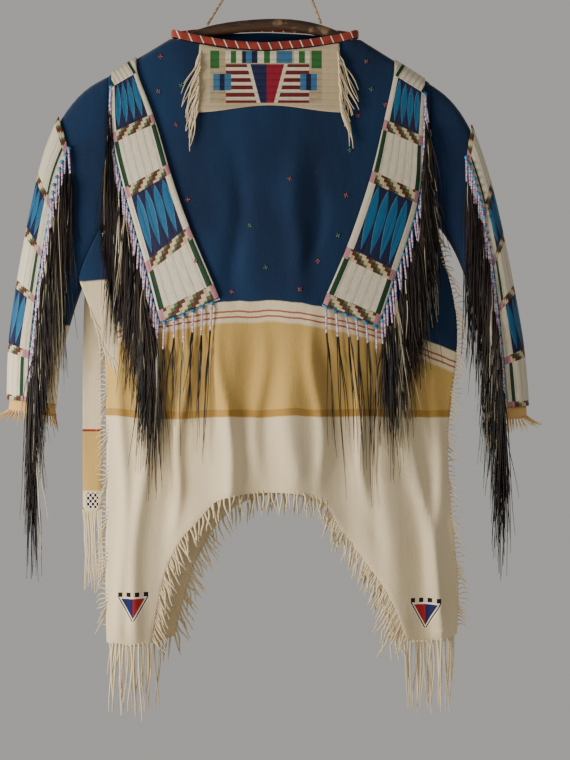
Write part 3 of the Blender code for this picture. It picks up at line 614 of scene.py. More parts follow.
def strip_finish(name, blocks, bars, width, length, lanes):
    """Blocks are (kind, start, end) down the strip; width and length are in millimetres."""
    material, shader, wires = new_finish(name, 0.42)
    uv = wires.add("ShaderNodeUVMap", uv_map="lay")
    u, v, w = wires.split(uv.outputs[0])
    colour = BEAD_WHITE
    for kind, low, high in blocks:
        if kind == "feather":
            block = feather(wires, u, v, low, high, TONGUES, lanes)
        elif kind == "check":
            block = checks(wires, u, v, width / CHECK_WIDE_MM, length / CHECK_HIGH_MM)
        else:
            block = white_block(wires, u, bars)
        colour = wires.mix(wires.between(v, low, high), colour, block)
    place = wires.stretched(uv.outputs[0], (width, length, 1.0))
    colour, normal = beaded(wires, place, colour)
    wires.plug(shader.inputs["Base Color"], colour)
    wires.plug(shader.inputs["Normal"], normal)
    return material


SHOULDER_BLOCKS = [
    ("white", -0.5, 0.005), ("feather", 0.005, 0.215), ("check", 0.215, 0.262),
    ("white", 0.262, 0.455), ("check", 0.455, 0.500), ("feather", 0.500, 0.745),
    ("check", 0.745, 0.790), ("white", 0.790, 0.952), ("check", 0.952, 1.2),
]
SLEEVE_BLOCKS = [
    ("check", -0.2, 0.205), ("white", 0.205, 0.345), ("check", 0.345, 0.370),
    ("feather", 0.370, 0.500), ("check", 0.500, 0.525), ("white", 0.525, 0.655),
    ("check", 0.655, 0.680), ("feather", 0.680, 0.845), ("check", 0.845, 0.870),
    ("white", 0.870, 0.985), ("check", 0.985, 1.2),
]
SHOULDER_BARS = ((0.030, 0.125), (0.885, 0.975))
SLEEVE_BARS = ((0.035, 0.125),)
shoulder_beads = strip_finish("shoulder_beads", SHOULDER_BLOCKS, SHOULDER_BARS, 70.0, 430.0, (0.13, 0.10))
sleeve_beads = strip_finish("sleeve_beads", SLEEVE_BLOCKS, SLEEVE_BARS, 66.0, 540.0, (0.17, 0.0))
print("bead finishes ready")

# %% [markdown]
# The neck flap has its own beadwork, charted as rectangles in x and z:
# a top row of blocks, green bars, maroon and white rows, and a two-colour wedge.
# It hangs flat, so it needs no map: the place on the object is chart enough.

# %% Bib finish
BIB_GREEN = srgb(52, 108, 52)
BIB_BLUE = srgb(62, 112, 150)
BIB_NAVY = srgb(28, 32, 76)
BIB_TAN_AND_FRINGE_SHADOW = srgb(122, 98, 60)
CRIMSON = srgb(150, 22, 46)
MAROON = srgb(112, 32, 32)
BIB_FIELD = (-0.109, 0.076, -0.392, -0.304)
BIB_STRIPES = (-0.083, 0.055, -0.392, -0.327)
BIB_STRIPE_PITCH = 0.0125
WEDGE_MIDDLE = -0.0145
WEDGE_HALF = 0.034
WEDGE_SLOPE = 0.26
WEDGE_BORDER = 0.006
BIB_BLOCKS = [
    (-0.109, -0.094, -0.334, -0.304, BIB_GREEN),
    (0.059, 0.076, -0.334, -0.304, BIB_GREEN),
    (-0.104, -0.074, -0.371, -0.343, BIB_BLUE),
    (0.040, 0.068, -0.371, -0.343, BIB_BLUE),
    (-0.093, -0.085, -0.371, -0.343, NAVY),
    (0.050, 0.058, -0.371, -0.343, NAVY),
    (-0.084, -0.057, -0.325, -0.305, BEAD_WHITE),
    (-0.075, -0.066, -0.325, -0.305, BIB_GREEN),
    (-0.056, -0.031, -0.325, -0.305, NAVY),
    (-0.050, -0.040, -0.325, -0.305, BIB_BLUE),
    (-0.030, 0.000, -0.325, -0.305, BEAD_WHITE),
    (-0.020, -0.010, -0.325, -0.305, BIB_GREEN),
    (0.001, 0.027, -0.325, -0.305, BIB_BLUE),
    (0.030, 0.056, -0.325, -0.305, BEAD_WHITE),
    (0.038, 0.048, -0.325, -0.305, BIB_GREEN),
]


def bib_finish():
    """Darker tan hide with a painted fringe shadow, stripes, wedge and blocks, with seed beads over the
    beaded field.
    """
    material, shader, wires = new_finish("bib_beads", 0.5)
    grain = hide_grain(wires)
    x, y, z = wires.split(wires.object_place())
    # The flap's hide is mixed towards a darker tan: partly its own tan hide, partly a painted shadow of
    # the fringe over it.
    colour = wires.mix(0.40, bare_hide(wires, grain), BIB_TAN_AND_FRINGE_SHADOW)
    low, high = BIB_STRIPES[2:]
    rows = wires.math("FRACT", wires.times(z, 1 / BIB_STRIPE_PITCH))
    striped = wires.mix(wires.above(rows, 0.45), BEAD_WHITE, MAROON)
    colour = wires.mix(wires.box(x, z, *BIB_STRIPES), colour, striped)
    half = wires.plus(wires.times(wires.minus(z, high), WEDGE_SLOPE), WEDGE_HALF)
    off = wires.math("ABSOLUTE", wires.minus(x, WEDGE_MIDDLE))
    rows_tall = wires.between(z, low, high)
    colour = wires.mix(wires.times(wires.below(off, half), rows_tall), colour, BEAD_WHITE)
    inner = wires.below(off, wires.minus(half, WEDGE_BORDER))
    core = wires.mix(wires.above(x, WEDGE_MIDDLE - 0.001), BIB_NAVY, CRIMSON)
    colour = wires.mix(wires.times(inner, rows_tall), colour, core)
    for left, right, bottom, top, fill in BIB_BLOCKS:
        colour = wires.mix(wires.box(x, z, left, right, bottom, top), colour, fill)
    millimetres = wires.joined(wires.times(z, 1000.0), wires.times(x, 1000.0))
    shaded, normal = beaded(wires, millimetres, colour)
    wires.plug(shader.inputs["Base Color"], wires.mix(wires.box(x, z, *BIB_FIELD), colour, shaded))
    wires.plug(shader.inputs["Normal"], normal)
    return material


bib_beads = bib_finish()
print("bib chart has", len(BIB_BLOCKS), "blocks")

# %% [markdown]
# The neck band is rust red wool with slanted white whip stitches over its edge.
# The branch is dark bark, rubbed pale where the shirt slides over it. Stitches are a
# slanted stripe that also stands out in the bump, which saves modelling each one.

# %% Cloth and wood finishes
STITCH_PITCH = 0.018
STITCH_SHARE = 0.11


def red_band():
    """Woven wool in two reds with a white stitch every STITCH_PITCH."""
    material, shader, wires = new_finish("red_cloth", 0.9, 0.3)
    place = wires.object_place()
    x, y, z = wires.split(place)
    lean = wires.plus(x, wires.times(z, 0.45))
    stitch = wires.below(wires.math("FRACT", wires.times(lean, 1 / STITCH_PITCH)), STITCH_SHARE)
    weave = wires.noise(place, 900.0, 2.0)
    patch = wires.noise(place, 40.0, 3.0)
    cloth = wires.mix(wires.soft(patch, 0.3, 0.7), srgb(118, 36, 28), srgb(150, 56, 42))
    cloth = wires.mix(wires.times(weave, 0.25), cloth, srgb(110, 30, 24))
    wires.plug(shader.inputs["Base Color"], wires.mix(stitch, cloth, srgb(215, 205, 185)))
    height = wires.plus(weave, wires.times(stitch, 1.2))
    wires.plug(shader.inputs["Normal"], wires.bump(height, 0.5, 0.0012))
    return material


def bark():
    """Long dark grain, worn through to paler wood in patches."""
    material, shader, wires = new_finish("wood", 0.55)
    place = wires.object_place()
    grain = wires.noise(wires.stretched(place, (0.18, 1.0, 1.0)), 190.0, 5.0, 0.6)
    worn = wires.noise(place, 28.0, 3.0)
    wood = wires.mix(grain, srgb(34, 24, 20), srgb(84, 62, 46))
    share = wires.times(wires.soft(worn, 0.56, 0.68), 0.6)
    wires.plug(shader.inputs["Base Color"], wires.mix(share, wood, srgb(150, 120, 88)))
    wires.plug(shader.inputs["Normal"], wires.bump(grain, 0.7, 0.002))
    return material


band_finish = red_band()
wood_finish = bark()
print("cloth and wood ready")

# %% [markdown]
# Hair, wrapped stems, glass beads and the thong are too thin to show a structure.
# Two colours in soft patches keep them from looking like one flat paint, and a patch
# stretched along z gives hair its long light and dark runs.

# %% Hair, glass and thong finishes


def mottled(name, light, dark, scale, roughness, stretch=(1.0, 1.0, 1.0)):
    """Two colours in soft patches."""
    material, shader, wires = new_finish(name, roughness)
    patch = wires.noise(wires.stretched(wires.object_place(), stretch), scale, 3.0)
    wires.plug(shader.inputs["Base Color"], wires.mix(wires.soft(patch, 0.35, 0.65), dark, light))
    return material


hair_finish = mottled("hair", srgb(44, 34, 30), srgb(14, 11, 12), 60.0, 0.42, (1.0, 1.0, 0.1))
pale_hair = mottled("pale_hair", srgb(205, 196, 170), srgb(140, 126, 96), 50.0, 0.5, (1.0, 1.0, 0.1))
stem_finish = mottled("stem_wrap", srgb(214, 200, 208), srgb(128, 92, 132), 240.0, 0.5, (1.0, 1.0, 1.6))
glass_finish = mottled("pony_beads", srgb(70, 150, 190), srgb(24, 84, 132), 90.0, 0.18)
thong_finish = mottled("thong", srgb(178, 152, 116), srgb(112, 88, 62), 300.0, 0.8)
print("thin finishes ready")

# %% [markdown]
# The edges that fringe and hair hang from are the same lines that the CAD model was cut to.
# They could be found again in its mesh. Short tables are simpler to read and to change,
# so the cut is written down here once more, in metres.

# %% Edge tables
# each row of the sides: z, x of the left side, x of the right side
SIDES = [
    (-0.260, -0.279, 0.254), (-0.450, -0.279, 0.2565), (-0.586, -0.280, 0.262),
    (-0.718, -0.283, 0.298), (-0.790, -0.284, 0.303), (-0.949, -0.281, 0.284),
    (-1.147, -0.283, 0.299), (-1.213, -0.283, 0.305), (-1.300, -0.281, 0.298),
]
# each row of a hem: share across the body, z
FRONT_HEM = [
    (0.000, -1.286), (0.060, -1.293), (0.128, -1.288), (0.150, -1.213), (0.171, -1.163),
    (0.214, -1.114), (0.270, -1.081), (0.320, -1.048), (0.400, -1.038), (0.484, -1.035),
    (0.560, -1.037), (0.636, -1.050), (0.682, -1.106), (0.735, -1.147), (0.791, -1.196),
    (0.833, -1.246), (0.856, -1.278), (0.930, -1.283), (1.000, -1.272),
]
BACK_HEM = [
    (0.000, -1.262), (0.050, -1.288), (0.120, -1.293), (0.190, -1.284), (0.212, -1.226),
    (0.245, -1.165), (0.300, -1.104), (0.370, -1.062), (0.440, -1.046), (0.500, -1.042),
    (0.560, -1.046), (0.630, -1.062), (0.700, -1.104), (0.755, -1.165), (0.788, -1.226),
    (0.810, -1.284), (0.880, -1.293), (0.950, -1.288), (1.000, -1.262),
]
# each row of a strip: share down it, then x and z of its inner and its outer edge
LEFT_STRIP = [
    (0.00, -0.2310, -0.3400, -0.2720, -0.3640), (0.24, -0.2000, -0.4180, -0.2700, -0.4500),
    (0.48, -0.1750, -0.5030, -0.2480, -0.5430), (0.73, -0.1450, -0.5900, -0.2170, -0.6500),
    (1.00, -0.0920, -0.7150, -0.1900, -0.7550),
]
RIGHT_STRIP = [
    (0.00, 0.1960, -0.3440, 0.2460, -0.3750), (0.24, 0.1770, -0.4280, 0.2420, -0.4560),
    (0.48, 0.1560, -0.5150, 0.2360, -0.5500), (0.73, 0.1190, -0.6250, 0.2000, -0.6650),
    (1.00, 0.0760, -0.7250, 0.1680, -0.7600),
]
# each row of a sleeve: share down it, x and z of its outer and inner edge, edge radius
LEFT_SLEEVE = [
    (0.00, -0.2794, -0.3430, -0.2806, -0.5860, 0.0160), (0.08, -0.3150, -0.3580, -0.2860, -0.5980, 0.0175),
    (0.17, -0.3560, -0.4050, -0.2960, -0.6230, 0.0195), (0.28, -0.3850, -0.4700, -0.3090, -0.6560, 0.0215),
    (0.41, -0.4020, -0.5450, -0.3200, -0.6900, 0.0230), (0.55, -0.4190, -0.6270, -0.3330, -0.7270, 0.0240),
    (0.70, -0.4330, -0.7090, -0.3460, -0.7720, 0.0240), (0.85, -0.4440, -0.7920, -0.3590, -0.8210, 0.0240),
    (1.00, -0.4460, -0.8820, -0.3650, -0.8900, 0.0230),
]
RIGHT_SLEEVE = [
    (0.00, 0.2553, -0.3550, 0.2624, -0.5860, 0.0160), (0.08, 0.2860, -0.3730, 0.2760, -0.6010, 0.0175),
    (0.17, 0.3200, -0.4180, 0.2930, -0.6270, 0.0195), (0.28, 0.3450, -0.4830, 0.3080, -0.6600, 0.0215),
    (0.41, 0.3650, -0.5570, 0.3200, -0.6940, 0.0230), (0.55, 0.3820, -0.6350, 0.3310, -0.7330, 0.0240),
    (0.70, 0.3980, -0.7180, 0.3400, -0.7790, 0.0240), (0.85, 0.4120, -0.8010, 0.3460, -0.8280, 0.0240),
    (1.00, 0.4190, -0.8930, 0.3480, -0.8960, 0.0230),
]
print("hem rows", len(FRONT_HEM), len(BACK_HEM))

# %% [markdown]
# The tables are read on a smooth curve between their rows. Straight lines would give the
# hem corners at every row. The curve goes through each row with the slope of the line
# between its neighbours, which is how a flexible ruler would lie.

# %% Reading the tables


def look_up(rows, value, column):
    """One column of a table at a value of its first column."""
    keys = [row[0] for row in rows]
    data = [row[column] for row in rows]
    if keys[0] > keys[-1]:
        keys.reverse()
        data.reverse()
    if value <= keys[0]:
        return data[0]
    if value >= keys[-1]:
        return data[-1]
    i = max(n for n in range(len(keys) - 1) if keys[n] <= value)
    span = keys[i + 1] - keys[i]
    share = (value - keys[i]) / span
    rise = data[i + 1] - data[i]

    def slope(n):
        low = max(n - 1, 0)
        high = min(n + 1, len(keys) - 1)
        return (data[high] - data[low]) / (keys[high] - keys[low]) * span

    start, end = slope(i), slope(i + 1)
    return (data[i] + start * share + (3 * rise - 2 * start - end) * share ** 2
            + (start + end - 2 * rise) * share ** 3)


def body_x(share, z):
    """x at a share of the body's width at height z."""
    left = look_up(SIDES, z, 1)
    return left + share * (look_up(SIDES, z, 2) - left)


def edge_point(rows, key, share):
    """x and z on the line from the first edge of a table's row to the second."""
    x = look_up(rows, key, 1) + (look_up(rows, key, 3) - look_up(rows, key, 1)) * share
    z = look_up(rows, key, 2) + (look_up(rows, key, 4) - look_up(rows, key, 2)) * share
    return x, z


def place_on(rows, x, z):
    """The key whose line passes through x, z, found by halving, and the share across it."""
    low, high = rows[0][0], rows[-1][0]

    def side(key):
        ax, az = edge_point(rows, key, 0)
        bx, bz = edge_point(rows, key, 1)
        return (bx - ax) * (z - az) - (bz - az) * (x - ax)

    first = side(low)
    if first * side(high) > 0:
        if abs(side(high)) < abs(first):
            low = high
        high = low
    for _ in range(24):
        middle = (low + high) / 2
        if side(middle) * first > 0:
            low = middle
        else:
            high = middle
    ax, az = edge_point(rows, low, 0)
    bx, bz = edge_point(rows, low, 1)
    wide = math.hypot(bx - ax, bz - az)
    return low, ((x - ax) * (bx - ax) + (z - az) * (bz - az)) / wide ** 2, wide


print("body width at the chest", round(body_x(1, -0.6) - body_x(0, -0.6), 3))

# %% [markdown]
# A hanging strand has to lie on whatever is under it. A simulation would find that out
# slowly. A search tree of the dressed cloth gives the outermost surface in front of any
# point at once, so that a strand can be laid just off it from its root down.

# %% Search tree of the cloth
dressed_cloth = []


def cloth_tree():
    """A tree of all cloth dressed so far."""
    corners = []
    faces = []
    for obj in dressed_cloth:
        first = len(corners)
        corners += [vertex.co.copy() for vertex in obj.data.vertices]
        faces += [[first + index for index in face.vertices] for face in obj.data.polygons]
    return BVHTree.FromPolygons(corners, faces)


def surface_y(x, z, face):
    """y of the outermost solid seen from the front (-1) or the back (1), or None."""
    hit = solids.ray_cast(Vector((x, face * 0.5, z)), Vector((0, -face, 0)))[0]
    return None if hit is None else hit.y


SETTLE = 0.35


def hang(root, face, fall, lean, clear, steps, sway=0.0, phase=0.0):
    """Points of a strand that hangs from root over the surface below it.

    It falls by fall, leans sideways by lean, and keeps clear of the cloth by clear.
    """
    points = [root.copy()]
    y = root.y
    for k in range(1, steps + 1):
        share = k / steps
        x = root.x + lean * share + sway * math.sin(phase + share * 5.0)
        z = root.z - fall * share
        under = surface_y(x, z, face)
        wanted = y if under is None else under + face * clear
        if face * (wanted - y) < 0:
            wanted = y + (wanted - y) * SETTLE
        y = wanted
        points.append(Vector((x, y, z)))
    return points


print("strands settle", SETTLE, "of the way down to the cloth at each step")

# %% [markdown]
# Fringe, hair and thread are all long, round and thinner at the tip. Blender's hair
# objects would not be exported. Splines with a bevel and a radius at each point are
# quick to make, and turn to one mesh for each piece.

# %% Strands and pieces


def strands(name, paths, radius, finish, sides=0, tip=0.35):
    """One mesh of many round strands, made from splines with a taper."""
    curve = bpy.data.curves.new(name, "CURVE")
    curve.dimensions = "3D"
    curve.bevel_depth = radius
    curve.bevel_resolution = sides
    curve.use_fill_caps = True
    for path in paths:
        spline = curve.splines.new("POLY")
        spline.points.add(len(path) - 1)
        for k, (spot, point) in enumerate(zip(spline.points, path)):
            share = k / (len(path) - 1)
            spot.co = (*point, 1)
            spot.radius = 1 + (tip - 1) * share ** 2
    holder = placed(name + "_spline", curve)
    bpy.context.view_layer.update()
    seen = holder.evaluated_get(bpy.context.evaluated_depsgraph_get())
    mesh = bpy.data.meshes.new_from_object(seen)
    bpy.data.objects.remove(holder)
    mesh.name = name
    mesh.materials.clear()
    mesh.materials.append(finish)
    mesh.shade_smooth()
    print(name, len(paths), "strands")
    return placed(name, mesh)


def shaped(name, bm, finish):
    """A finished bmesh as a smooth object."""
    mesh = bpy.data.meshes.new(name)
    bm.to_mesh(mesh)
    bm.free()
    mesh.materials.append(finish)
    mesh.shade_smooth()
    return placed(name, mesh)


def worn_on(obj, slot, *replaced):
    """The piece moves with the body and stands for its CAD nodes; slot is not used."""
    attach(obj, "root")
    if replaced:
        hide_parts(*replaced)
    return obj


# %% [markdown]
# Empty hide hangs in soft upright folds. They could be simulated, but the photographed
# folds are known, so each is one row of a table: a line that leans, with a width and a
# height. Every fold is a smooth swelling that fades in below its top.

# %% Creases
# each: x at the top, lean, half width, rise, top z, bottom z
CREASES = [
    (-0.100, 0.10, 0.010, 0.0050, -0.72, -1.10), (-0.020, -0.05, 0.012, 0.0045, -0.74, -1.04),
    (0.058, 0.06, 0.010, 0.0055, -0.72, -1.06), (0.118, 0.12, 0.009, 0.0050, -0.76, -1.10),
    (0.185, 0.16, 0.011, 0.0060, -0.70, -1.28), (0.262, 0.02, 0.012, 0.0045, -0.80, -1.28),
    (-0.140, -0.10, 0.010, 0.0055, -0.78, -1.12), (-0.205, -0.06, 0.012, 0.0050, -0.74, -1.28),
    (-0.255, 0.00, 0.010, 0.0040, -0.70, -1.28), (0.030, 0.02, 0.018, 0.0040, -0.42, -0.74),
    (-0.060, -0.02, 0.016, -0.0040, -0.44, -0.74), (0.078, -0.10, 0.013, -0.0030, -0.46, -0.70),
    (0.010, 0.10, 0.020, 0.0040, -0.80, -1.06), (0.150, 0.05, 0.014, -0.0040, -0.80, -1.20),
]
CREASE_SCALE = 1.9
LOW_END = -1.2


def crease_at(x, z):
    """How far the listed creases push the surface out."""
    total = 0.0
    for start_x, lean, half, rise, top, bottom in CREASES:
        if z > top or z < bottom:
            continue
        share = (top - z) / (top - bottom)
        off = (x - start_x - lean * (top - z) - 0.006 * math.sin(9 * share + 40 * start_x)) / half
        swell = min(share / 0.35, 1.0)
        fade = 1.0 if bottom < LOW_END else min((1 - share) / 0.25, 1.0)
        total += CREASE_SCALE * rise * swell * fade * math.exp(-off * off)
    return total


print(len(CREASES), "creases")

# %% [markdown]
# Each cloth piece is a copy of its CAD solid, so that it keeps the solid's size. The
# copy's loose triangles are merged, joined back to quads, and smoothed with two levels
# of subdivision, which is then applied so that creases can be pressed into the finer
# mesh. Sharp cut edges get an edge crease first, or the smoothing would shrink them.

# %% Dress a node
CUT_ANGLE = 0.95
CUT_CREASE = 0.9


def dressed(node, finish, slot, levels=2, creased=0, crisp=True):
    """A smooth copy of a CAD node that stands for it; crisp keeps its cut edges."""
    bm = bmesh.new()
    bm.from_mesh(nodes[node].data)
    bmesh.ops.translate(bm, verts=bm.verts[:], vec=(0, 0, -RISE))
    bmesh.ops.remove_doubles(bm, verts=bm.verts[:], dist=1e-5)
    bmesh.ops.join_triangles(bm, faces=bm.faces[:], angle_face_threshold=0.8,
                             angle_shape_threshold=0.9)
    if crisp:
        kept = bm.edges.layers.float.new("crease_edge")
        for edge in bm.edges:
            if len(edge.link_faces) == 2 and edge.calc_face_angle() > CUT_ANGLE:
                edge[kept] = CUT_CREASE
    mesh = bpy.data.meshes.new(node + "_dressed")
    bm.to_mesh(mesh)
    bm.free()
    obj = placed(node + "_dressed", mesh)
    finer = obj.modifiers.new("finer", "SUBSURF")
    finer.levels = levels
    finer.render_levels = levels
    bpy.context.view_layer.update()
    seen = obj.evaluated_get(bpy.context.evaluated_depsgraph_get())
    mesh = bpy.data.meshes.new_from_object(seen)
    obj.modifiers.clear()
    obj.data = mesh
    if creased:
        for vertex in mesh.vertices:
            vertex.co.y += creased * crease_at(vertex.co.x * -creased, vertex.co.z)
    mesh.materials.clear()
    mesh.materials.append(finish)
    mesh.shade_smooth()
    dressed_cloth.append(obj)
    print(node, "dressed with", len(mesh.polygons), "faces")
    return worn_on(obj, slot, node)


# %% [markdown]
# The hide body, the sleeves and the flat flaps are dressed first.
# Creases go into the front and the back only, because strips lie on the rest.

# %% Hide pieces
front = dressed("front_panel", body_finish, "painted_hide", creased=-1)
back = dressed("back_panel", body_finish, "painted_hide", creased=1)
left_sleeve = dressed("sleeve_left", sleeve_finish, "painted_hide")
right_sleeve = dressed("sleeve_right", sleeve_finish, "painted_hide")
wing = dressed("sleeve_wing_left", wing_finish, "painted_hide")
leg_tab = dressed("sleeve_tab_left", tab_paint, "pale_hide")
left_cuff = dressed("cuff_left", tan_finish, "tan_hide")
right_cuff = dressed("cuff_right", tan_finish, "tan_hide")
band = dressed("neck_binding", band_finish, "red_cloth", crisp=False)
bib = dressed("bib_flap", bib_beads, "pale_hide")
dressed("hanger_branch", wood_finish, "wood", levels=1, crisp=False)

# %% [markdown]
# Beaded strips are stiff and lie flat on the hide. Their finish needs a map, which could
# be unwrapped. It is worked out from the edge tables instead, so that the rows of beads
# follow the strip: across from the inner edge, and down from the crest of the shoulder.
# On a sleeve the strip bends round the outer edge, so the map is measured round it.

# %% Beaded strips
SLEEVE_STRIP_INNER = 0.070
SLEEVE_STRIP_OUTER = 0.004
SLEEVE_STRIP_TURN = 0.022


def laid(obj, place):
    """Gives a mesh the map that its beadwork is charted on."""
    layer = obj.data.uv_layers.new(name="lay")
    spots = [place(vertex.co) for vertex in obj.data.vertices]
    for loop in obj.data.loops:
        layer.data[loop.index].uv = spots[loop.vertex_index]


def shoulder_map(rows):
    """Share across the strip and down it, for a point."""
    def place(point):
        key, share, wide = place_on(rows, point.x, point.z)
        return share, key
    return place


def sleeve_map(rows):
    """The same round the sleeve's outer edge, where the strip bends."""
    def place(point):
        key, share, wide = place_on(rows, point.x, point.z)
        radius = look_up(rows, key, 5) + 0.003
        reach = max(share * wide + 0.003, 0.0)
        if reach < radius:
            around = radius * math.acos(max(-1.0, 1 - reach / radius))
        else:
            around = radius * math.pi / 2 + reach - radius
        if point.y > 0:
            around = -around
        inner = SLEEVE_STRIP_INNER - SLEEVE_STRIP_TURN * key
        outer = SLEEVE_STRIP_OUTER - SLEEVE_STRIP_TURN * key
        return (inner - around) / (inner - outer), key
    return place


for side, rows, arm in (("left", LEFT_STRIP, LEFT_SLEEVE), ("right", RIGHT_STRIP, RIGHT_SLEEVE)):
    strip = dressed("shoulder_strip_" + side, shoulder_beads, "beadwork")
    laid(strip, shoulder_map(rows))
    strip = dressed("sleeve_strip_" + side, sleeve_beads, "beadwork")
    laid(strip, sleeve_map(arm))
print("strips mapped")
solids = cloth_tree()

# %% [markdown]
# The thong is a curve, because a cord is given by its centre line.
# Each point's own radius gives the thickness. The curve's bound box grows by that
# radius, so a bevel depth of 1 keeps the box true.

# %% Thong piece
curve = bpy.data.curves.new("thong_loop", "CURVE")
curve.dimensions = "3D"
curve.bevel_depth = 1.0
curve.bevel_resolution = 3
curve.use_fill_caps = True
spline = curve.splines.new("POLY")
spline.points.add(len(route) - 1)
for spot, point in zip(spline.points, route):
    spot.co = (*point, 1)
    spot.radius = THONG_DIAMETER / 2
curve.materials.append(thong_finish)
thong = placed("thong_loop", curve)
worn_on(thong, "thong", "hanger_thong")
print("thong of", len(route), "points")

# %% [markdown]
# The hem's fringe is the hide itself, cut into thin strands. Under the arch it is short,
# and at the ends of the leg tabs long. Each strand is a tapered spline from a root on the
# hem line. Lengths, lean and curl vary a little, because fringe is cut by hand.

# %% Hem fringe
LEG_TAB_SHARE = 0.145
ARCH_FALL = 0.034
TAB_EXTRA_FALL = 0.084


def hem_roots(rows, spacing):
    """Points along the hem with the outward direction there."""
    roots = []
    samples = []
    for a, b in zip(rows, rows[1:]):
        for k in range(12):
            share = a[0] + (b[0] - a[0]) * k / 12
            z = a[1] + (b[1] - a[1]) * k / 12
            samples.append((body_x(share, z), z, share))
    walked = 0.0
    for a, b in zip(samples, samples[1:]):
        walked += math.hypot(b[0] - a[0], b[1] - a[1])
        if walked >= spacing:
            walked = 0.0
            run = Vector((b[0] - a[0], 0, b[1] - a[1])).normalized()
            roots.append((Vector((b[0], 0, b[1])), Vector((run.z, 0, -run.x)), b[2]))
    return roots


def hem_paths(rows, face, spacing):
    """Strands of the front's (-1) or the back's (1) hem."""
    paths = []
    for root, away, share in hem_roots(rows, spacing):
        y = surface_y(root.x, root.z + 0.010, face)
        if y is None:
            y = face * 0.018
        tab = 1.0 if min(share, 1 - share) < LEG_TAB_SHARE else 0.0
        steep = max(0.0, min(1.0, (-away.z - 0.5) / 0.4))
        fall = ARCH_FALL + TAB_EXTRA_FALL * tab * steep + random.uniform(-0.008, 0.010)
        root.y = y - face * 0.002
        root.z += 0.005
        lean = away.x * 0.016 * (1 - steep) + random.uniform(-0.007, 0.007)
        curl = random.uniform(-0.003, 0.003)
        path = []
        for k in range(7):
            t = k / 6
            x = root.x + lean * t + curl * math.sin(5 * t)
            path.append(Vector((x, root.y + face * 0.004 * random.uniform(-1, 1) * t, root.z - fall * t)))
        paths.append(path)
    return paths


front_fringe = strands("front_fringe", hem_paths(FRONT_HEM, -1, 0.0042), 0.0019, pale_finish)
worn_on(front_fringe, "pale_hide", "front_hem_fringe")
back_fringe = strands("back_fringe", hem_paths(BACK_HEM, 1, 0.0050), 0.0018, pale_finish)
worn_on(back_fringe, "pale_hide", "back_hem_fringe")

# %% [markdown]
# The open sides have a shorter fringe that has dried in curls. It stands out sideways and
# droops, so its strands are drawn out from the edge instead of hung.

# %% Side fringe
SIDE_TOP = -0.600
SIDE_END = -1.262
SIDE_SPACING = 0.0062


def side_paths(side):
    """Short curled fringe out of the open side edge."""
    paths = []
    z = SIDE_TOP
    while z > SIDE_END:
        x = look_up(SIDES, z, 1 if side < 0 else 2) - side * 0.003
        reach = random.uniform(0.012, 0.021)
        drop = random.uniform(0.004, 0.016)
        path = []
        for k in range(6):
            t = k / 5
            bend = 0.004 * math.sin(3.2 * t + z * 90)
            path.append(Vector((x + side * reach * t, -0.0150 - 0.003 * t + bend * 0.5,
                                z - drop * t * t + bend)))
        paths.append(path)
        z -= SIDE_SPACING
    return paths


for side, name in ((-1, "left"), (1, "right")):
    piece = strands("side_curls_" + name, side_paths(side), 0.0013, pale_finish)
    worn_on(piece, "pale_hide", "side_fringe_" + name)

# %% [markdown]
# The neck flap's side fringe spreads outwards as it falls, longer and softer than the
# hem's. It lies on the chest and over the strips, so each strand is hung on the surface.

# %% Bib fringe
BIB_STRANDS = 24


def bib_paths(side):
    """Strands down the left (-1) or the right (1) side of the flap."""
    paths = []
    for k in range(BIB_STRANDS):
        down = 0.06 + 0.92 * k / (BIB_STRANDS - 1)
        x = (0.105 + 0.006 * down) if side > 0 else (-0.127 - 0.006 * down)
        z = -0.300 - 0.100 * down
        spread = random.uniform(0.010, 0.034) * (1.1 - 0.5 * down)
        fall = random.uniform(0.050, 0.082)
        start = Vector((x - side * 0.003, (surface_y(x, z, -1) or -0.02) - 0.001, z))
        paths.append(hang(start, -1, fall, side * spread, 0.0035 + 0.003 * (k % 2), 7,
                          0.003, random.uniform(0, 6)))
    return paths


for side, name in ((-1, "left"), (1, "right")):
    piece = strands("bib_tassels_" + name, bib_paths(side), 0.0015, pale_finish)
    worn_on(piece, "pale_hide", "bib_fringe_" + name)

# %% [markdown]
# The cuffs are bands of tan hide whose lower edge is cut into short strands all round.
# Their roots run round the flattened tube that a sleeve's end is: two straight walls
# and two half circles. On the outer side the strands splay a little.

# %% Cuff fringe
CUFF_STRANDS = 44
CUFF_SPLAY = 0.018


def cuff_paths(rows):
    """Short strands round the end of a sleeve."""
    ax, az = rows[-1][1], rows[-1][2]
    bx, bz = rows[-1][3], rows[-1][4]
    wide = math.hypot(bx - ax, bz - az)
    inward = Vector((bx - ax, 0, bz - az)) / wide
    down = Vector((inward.z, 0, -inward.x))
    if down.z > 0:
        down.negate()
    radius = rows[-1][5] - 0.001
    flat = wide - 2 * radius - 0.002
    paths = []
    girth = 2 * flat + 2 * math.pi * radius
    for k in range(CUFF_STRANDS):
        way = girth * k / CUFF_STRANDS
        if way < flat:
            local, out = Vector((radius + way, -radius)), Vector((0, -1))
        elif way < flat + math.pi * radius:
            turn = (way - flat) / radius
            out = Vector((math.sin(turn), -math.cos(turn)))
            local = Vector((radius + flat, 0)) + out * radius
        elif way < 2 * flat + math.pi * radius:
            local, out = Vector((radius + 2 * flat + math.pi * radius - way, radius)), Vector((0, 1))
        else:
            turn = (way - 2 * flat - math.pi * radius) / radius
            out = Vector((-math.sin(turn), math.cos(turn)))
            local = Vector((radius, 0)) + out * radius
        start = Vector((ax, 0, az)) + inward * (local.x + 0.001) + Vector((0, local.y, 0)) + down * 0.017
        splay = inward * out.x + Vector((0, out.y, 0))
        fall = random.uniform(0.016, 0.027)
        side = CUFF_SPLAY * max(0.0, -out.x)
        paths.append([start + down * fall * (1 - 0.3 * t * side / CUFF_SPLAY) * t + splay * 0.006 * t * t
                      - inward * side * t for t in (0, 0.3, 0.6, 1)])
    return paths


